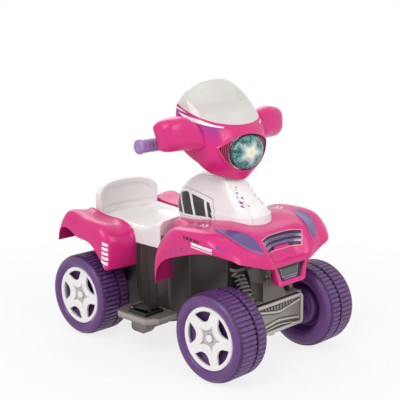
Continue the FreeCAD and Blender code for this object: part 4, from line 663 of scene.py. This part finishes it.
insert_black, base = moulded("insert_black", "1E1B1F", 0.4)
across_y, height_z = insert_black.place()[1:]
rise = height_z - AXLE_HEIGHT
line = region(abs(across_y), rise, [(-90, 123), (30, 123), (38, 152), (-90, 152)])
ledge = rise.near(121, 1.3, 0.3) & abs(across_y).below(25, 0.5)
inset = (line.near(3, 1.0, 0.3) & rise.below(147, 0.4)) | ledge
pane = region(abs(across_y), rise, [(-90, 129), (26, 129), (32, 146), (-90, 146)]).above(0)
slat = (rise / 4.4).math("FRACT").near(0.5, 0.32, 0.06)
filled = insert_black.mix(pane, base, insert_black.mix(slat, colour("2E302F"), colour("626863")))
insert_black.set(base_color=insert_black.mix(inset, filled, colour("A08DB4")))
dress("bumper_insert", insert_black)


# Head: a pink mask shaped like a blunt helmet over the handlebar, with a raised lip round the lamp
# eye. A pink panel with an instrument hood closes it towards the rider.

BROW_SLOPE = 51.0 / 123.0

mask_pink, base = gloss_pink("mask_pink")
along_x, across_y, height_z = mask_pink.place()
span = along_x - FRONT_AXLE
side = abs(across_y)
rise = height_z - AXLE_HEIGHT
brow = rise - 485 - (-86 - span) * BROW_SLOPE
below_brow = brow.below(-5, 0.5) & span.below(-92, 6)
shade = brow.above(-34, 26) & below_brow & side.above(16, 10)
tinted = mask_pink.mix(shade * 0.75, base, colour("8E2C8A"))
print_area = below_brow & side.above(52, 1.5) & (rise + span * 0.62).above(392, 0.8)
streak = rise + span * 0.25
white = streak.near(462, 4.5) | streak.near(474, 1.6)
lined = mask_pink.mix(white & print_area & side.above(66, 2), tinted, colour(FILM_WHITE))
violet = streak.near(481, 2.6) & print_area & side.above(62, 2)
mask_pink.set(base_color=mask_pink.mix(violet, lined, colour(FILM_PURPLE)))
dress("head_fairing", mask_pink, 34)

cover_pink = gloss_pink("cover_pink")[0]
dress("head_rear_cover", cover_pink, 34)


# Windshield: a smoky clear screen, thermoformed to carry on the line of the mask, with polished pale
# edges. It sits inside the rim of the mask.

screen_clear = Finish("screen_clear", roughness=0.07, coat_weight=0.3, coat_roughness=0.04)
height_z = screen_clear.place()[2]
haze = screen_clear.noise(60)
low = (height_z - AXLE_HEIGHT).below(540, 45)
slope = screen_clear.add("ShaderNodeLayerWeight", None, {"Blend": 0.35}, out="Facing")
milky = screen_clear.mix(haze, colour("CFCAC4"), colour("DDD9D4"))
screen_clear.set(base_color=screen_clear.mix(low * 0.35, milky, colour("E2DEDA")),
                 alpha=(low * 0.34 + haze * 0.06 + slope * 0.35 + 0.46) & 0.93)
SCREEN_MIDDLE = 30.0
SCREEN_EDGE = 68.0
SCREEN_TURN = 20.0
SCREEN_TOP = 700.9
LIFT_FADE = 640.0, 60.0


def rim_radius(angle):
    """The mask's rim seen from above, round the screen's middle: widest at 38 degrees off the front."""
    return 132 - (23 * ((angle - 38) / 52) ** 2 if angle > 38 else 4 * ((38 - angle) / 38) ** 2)


def swept(point):
    """Turns the screen's sides back round its middle, by the square of their angle, so that they reach the
    mask's ears. The radius follows the rim, and the foot rises along the slope of the brow."""
    ahead, height_z = point[0] - SCREEN_MIDDLE, point[2]
    angle = math.degrees(math.atan2(abs(point[1]), ahead))
    turned = angle + SCREEN_TURN * (angle / SCREEN_EDGE) ** 2
    radius = math.hypot(ahead, point[1]) * rim_radius(turned) / rim_radius(angle)
    now_ahead = radius * math.cos(math.radians(turned))
    across_y = math.copysign(radius * math.sin(math.radians(turned)), point[1])
    fade = min(max((height_z - LIFT_FADE[0]) / LIFT_FADE[1], 0), 1)
    lift = BROW_SLOPE * (ahead - now_ahead) * (1 - 0.8 * fade)
    return np.array([SCREEN_MIDDLE + now_ahead, across_y, min(height_z + lift, SCREEN_TOP)])


dress("windshield", screen_clear, 40, swept)


# Lamp: a domed oval glass in teal over a bright bowl, in a black eye panel with pink slats on both
# sides. The star in the glass is moulded as flutes that run out from its middle. Glints are painted
# on the glass: a white star with a bright middle and a yellow core, and flashes on its facets. The
# dark ring round its edge is painted shade.

LAMP_HEIGHT = AXLE_HEIGHT + 416.0
LAMP_HALF_W = 62.0
LAMP_HALF_H = 44.5

lamp_teal = Finish("lamp_teal", roughness=0.14, coat_weight=0.35, coat_roughness=0.05)
across_y, height_z = lamp_teal.place()[1:]
u = across_y / LAMP_HALF_W
v = (height_z - LAMP_HEIGHT) / LAMP_HALF_H
out = (u * u + v * v).math("SQRT")
turn = v.math("ARCTAN2", u)
ray = (turn * 5 + 0.6).math("COSINE") * 0.5 + 0.5
fine = (turn * 22).math("COSINE") * 0.5 + 0.5
swirl = lamp_teal.noise(11, 5)
deep = lamp_teal.mix(swirl.above(0.5, 0.14), colour("07393F"), colour("2A8687"))
# Painted glints: random flashes on the facets, then a white star with a bright middle and a yellow core,
# painted on the glass; the dark ring round its edge is painted shade.
facet_glint = lamp_teal.noise(5, 3).above(0.60, 0.06) & out.above(0.40, 0.12)
facet_glints = lamp_teal.mix(facet_glint * 0.55, deep, colour("9FD6D2"))
glint_halo = (1 - out * (1.75 - ray * 0.62)).math("MAXIMUM", 0.0).math("POWER", 1.1)
painted_star = lamp_teal.mix((glint_halo * 1.55).math("MINIMUM", 1.0), facet_glints, colour("DDE9E4"))
bright = lamp_teal.mix(out.below(0.22, 0.14), painted_star, colour("F4F4E6"))
core_glint = lamp_teal.mix(out.below(0.15, 0.08), bright, colour("F3E88A"))
rim = lamp_teal.mix(out.above(0.94, 0.04), core_glint, colour("0A3438"))
lamp_teal.set(base_color=rim)
lamp_teal.relief((fine * out + ray * 0.6) * 0.4)
dress("lamp_lens", lamp_teal, 50)

bowl_bright = steel("bowl_bright", "DDE3E4", 0.14)
dress("lamp_reflector", bowl_bright, 50)
eye_black = moulded("eye_black", "161416", 0.42)[0]
dress("lamp_panel", eye_black)


def bead(name, path, radius, lift, closed=False):
    """Round bar along a path in millimetres: a circle at each point, on the lift and on the lift crossed
    with the run of the path. An open end shrinks to a point as a quarter circle does."""
    path = np.asarray(path, float) / 1000
    n = len(path)
    run = np.roll(path, -1, 0) - np.roll(path, 1, 0) if closed else np.gradient(path, axis=0)
    side = np.cross(lift, run)
    side /= np.linalg.norm(side, axis=1, keepdims=True)
    from_end = np.minimum(np.arange(n), np.arange(n)[::-1])
    size = np.ones(n) if closed else np.sqrt(1 - (1 - np.minimum(from_end / 4, 1)) ** 2)
    angle = np.linspace(0, 2 * np.pi, 12, endpoint=False)[None, :, None]
    circle = np.cos(angle) * side[:, None] + np.sin(angle) * np.asarray(lift, float)
    rings = path[:, None] + (size * radius / 1000)[:, None, None] * circle
    i = np.arange(n if closed else n - 1)[:, None]
    j = np.arange(12)[None]
    after, turned = (i + 1) % n * 12, (j + 1) % 12
    faces = np.stack([i * 12 + j, i * 12 + turned, after + turned, after + j], -1).reshape(-1, 4)
    return surface(name, rings.reshape(-1, 3), faces)


panel_mesh = frame["nodes"]["lamp_panel"].data
panel_skin = BVHTree.FromPolygons([v.co for v in panel_mesh.vertices],
                                  [f.vertices for f in panel_mesh.polygons])
for side, name in ((-1, "right"), (1, "left")):
    sweep = np.radians(np.linspace(-52, 52, 40))
    places = np.stack([np.full(40, 1000.0), side * (LAMP_HALF_W + 2.8) * np.cos(sweep),
                       LAMP_HEIGHT + (LAMP_HALF_H + 2.8) * np.sin(sweep)], -1)
    found = [panel_skin.ray_cast(Vector(place / 1000), Vector((-1, 0, 0)))[0] for place in places]
    fit(bead("lamp_trim_" + name, np.array(found) * 1000, 1.0, (1, 0, 0)), "lamp_reflector", bowl_bright)
slat_pink = moulded("slat_pink", "9A3450", 0.35)[0]
dress("lamp_louvres", slat_pink)


# Hand guards: two pink scoops in front of the grips, open towards the hands, screwed to the sides of
# the mask. A crease in the lower third catches the light.

GUARD_LOW, GUARD_HIGH = 534.0, 623.0
GUARD_TAPER = 165.0
GUARD_RUN = 60.0
GUARD_DROP = 42.0


def tapered(point):
    """Lets the upper edge fall towards the mask, by the square of the way in from the guard's middle."""
    along_x, across_y, height_z = point
    inward = np.clip((GUARD_TAPER - abs(across_y)) / GUARD_RUN, 0, 1)
    level = (height_z - GUARD_LOW) / (GUARD_HIGH - GUARD_LOW)
    return np.array([along_x, across_y, height_z - GUARD_DROP * inward ** 2 * level])


guard_pink = gloss_pink("guard_pink")[0]
dress("hand_guard_right", guard_pink, 40, tapered)
dress("hand_guard_left", guard_pink, 40, tapered)


# Handlebar: a bent steel tube through the head, held by a black clamp on the column, with a ribbed
# purple grip pressed on each end.

dress("handlebar", zinc, 40)
dress("bar_clamp", base_black)
grip_lilac = moulded("grip_lilac", "9C78B2", 0.42, skin=0.08)[0]
dress("grip_right", grip_lilac, 30)
dress("grip_left", grip_lilac, 30)


# Stage: a pale floor that runs out of sight, soft lamps above and in front, and the camera where the
# photograph was taken from.

FLOOR_HALF = 40.0
EYE = Vector((1.66235, -1.7013, 0.8817))
AIM = Vector((0.0, 0.0051, 0.3775))

floor_mesh = bpy.data.meshes.new("floor")
floor_mesh.from_pydata([(-FLOOR_HALF, -FLOOR_HALF, 0), (FLOOR_HALF, -FLOOR_HALF, 0),
                        (FLOOR_HALF, FLOOR_HALF, 0), (-FLOOR_HALF, FLOOR_HALF, 0)], [], [(0, 1, 2, 3)])
floor = bpy.data.objects.new("floor", floor_mesh)
bpy.context.scene.collection.objects.link(floor)
floor_pale = Finish("floor_pale", base_color=colour("EDEDED"), roughness=0.9)
paths = floor_pale.add("ShaderNodeLightPath").socket.node.outputs
seen = Field(floor_pale, paths["Is Camera Ray"]) | Field(floor_pale, paths["Is Glossy Ray"])
seen = seen | Field(floor_pale, paths["Is Transmission Ray"])
shine = floor_pale.add("ShaderNodeEmission", None, {"Color": (1, 1, 1, 1), "Strength": 1.0})
along_x, across_y = floor_pale.place()[:2]
away = (along_x * along_x + across_y * across_y).math("SQRT")
far_share = away.above(900, 450) * 0.2 + 0.8
mixed = floor_pale.add("ShaderNodeMixShader", None,
                       {0: seen * far_share, 1: Field(floor_pale, floor_pale.surface.outputs[0]), 2: shine})
floor_pale.join(mixed, floor_pale.tree.nodes["Material Output"].inputs["Surface"])
floor_mesh.materials.append(floor_pale.material)

world = bpy.data.worlds.new("studio")
world.use_nodes = True
bpy.context.scene.world = world
nodes, links = world.node_tree.nodes, world.node_tree.links
ambient = nodes["Background"]
ambient.inputs["Color"].default_value = (1, 1, 1, 1)
ambient.inputs["Strength"].default_value = 0.62
backdrop = nodes.new("ShaderNodeBackground")
backdrop.inputs["Color"].default_value = (1, 1, 1, 1)
backdrop.inputs["Strength"].default_value = 1.0
path = nodes.new("ShaderNodeLightPath")
mirrored = nodes.new("ShaderNodeMath")
mirrored.operation = "MAXIMUM"
links.new(path.outputs["Is Glossy Ray"], mirrored.inputs[0])
links.new(path.outputs["Is Transmission Ray"], mirrored.inputs[1])
shown = nodes.new("ShaderNodeMath")
shown.operation = "MAXIMUM"
links.new(path.outputs["Is Camera Ray"], shown.inputs[0])
links.new(mirrored.outputs[0], shown.inputs[1])
choice = nodes.new("ShaderNodeMixShader")
links.new(shown.outputs[0], choice.inputs[0])
links.new(ambient.outputs[0], choice.inputs[1])
links.new(backdrop.outputs[0], choice.inputs[2])
links.new(choice.outputs[0], nodes["World Output"].inputs["Surface"])


def lamp(name, place, aim, size, watts):
    """A square soft lamp that points at a place."""
    light = bpy.data.lights.new(name, "AREA")
    light.size = size
    light.energy = watts
    stand = bpy.data.objects.new(name, light)
    stand.location = place
    stand.rotation_euler = (Vector(aim) - Vector(place)).to_track_quat("-Z", "Y").to_euler()
    bpy.context.scene.collection.objects.link(stand)


lamp("key", (0.4, -2.2, 2.6), (0, 0, 0.3), 1.6, 40)
lamp("front", (2.6, 0.2, 1.7), (0, 0, 0.3), 1.4, 22)
lamp("back", (-2.2, 1.6, 2.4), (0, 0, 0.4), 1.6, 18)

lens = bpy.data.cameras.new("camera")
lens.lens = 82.26
lens.sensor_width = 36.0
camera = bpy.data.objects.new("camera", lens)
camera.location = EYE
camera.rotation_euler = (AIM - EYE).to_track_quat("-Z", "Y").to_euler()
bpy.context.scene.collection.objects.link(camera)
bpy.context.scene.camera = camera
bpy.context.scene.view_settings.view_transform = "Standard"
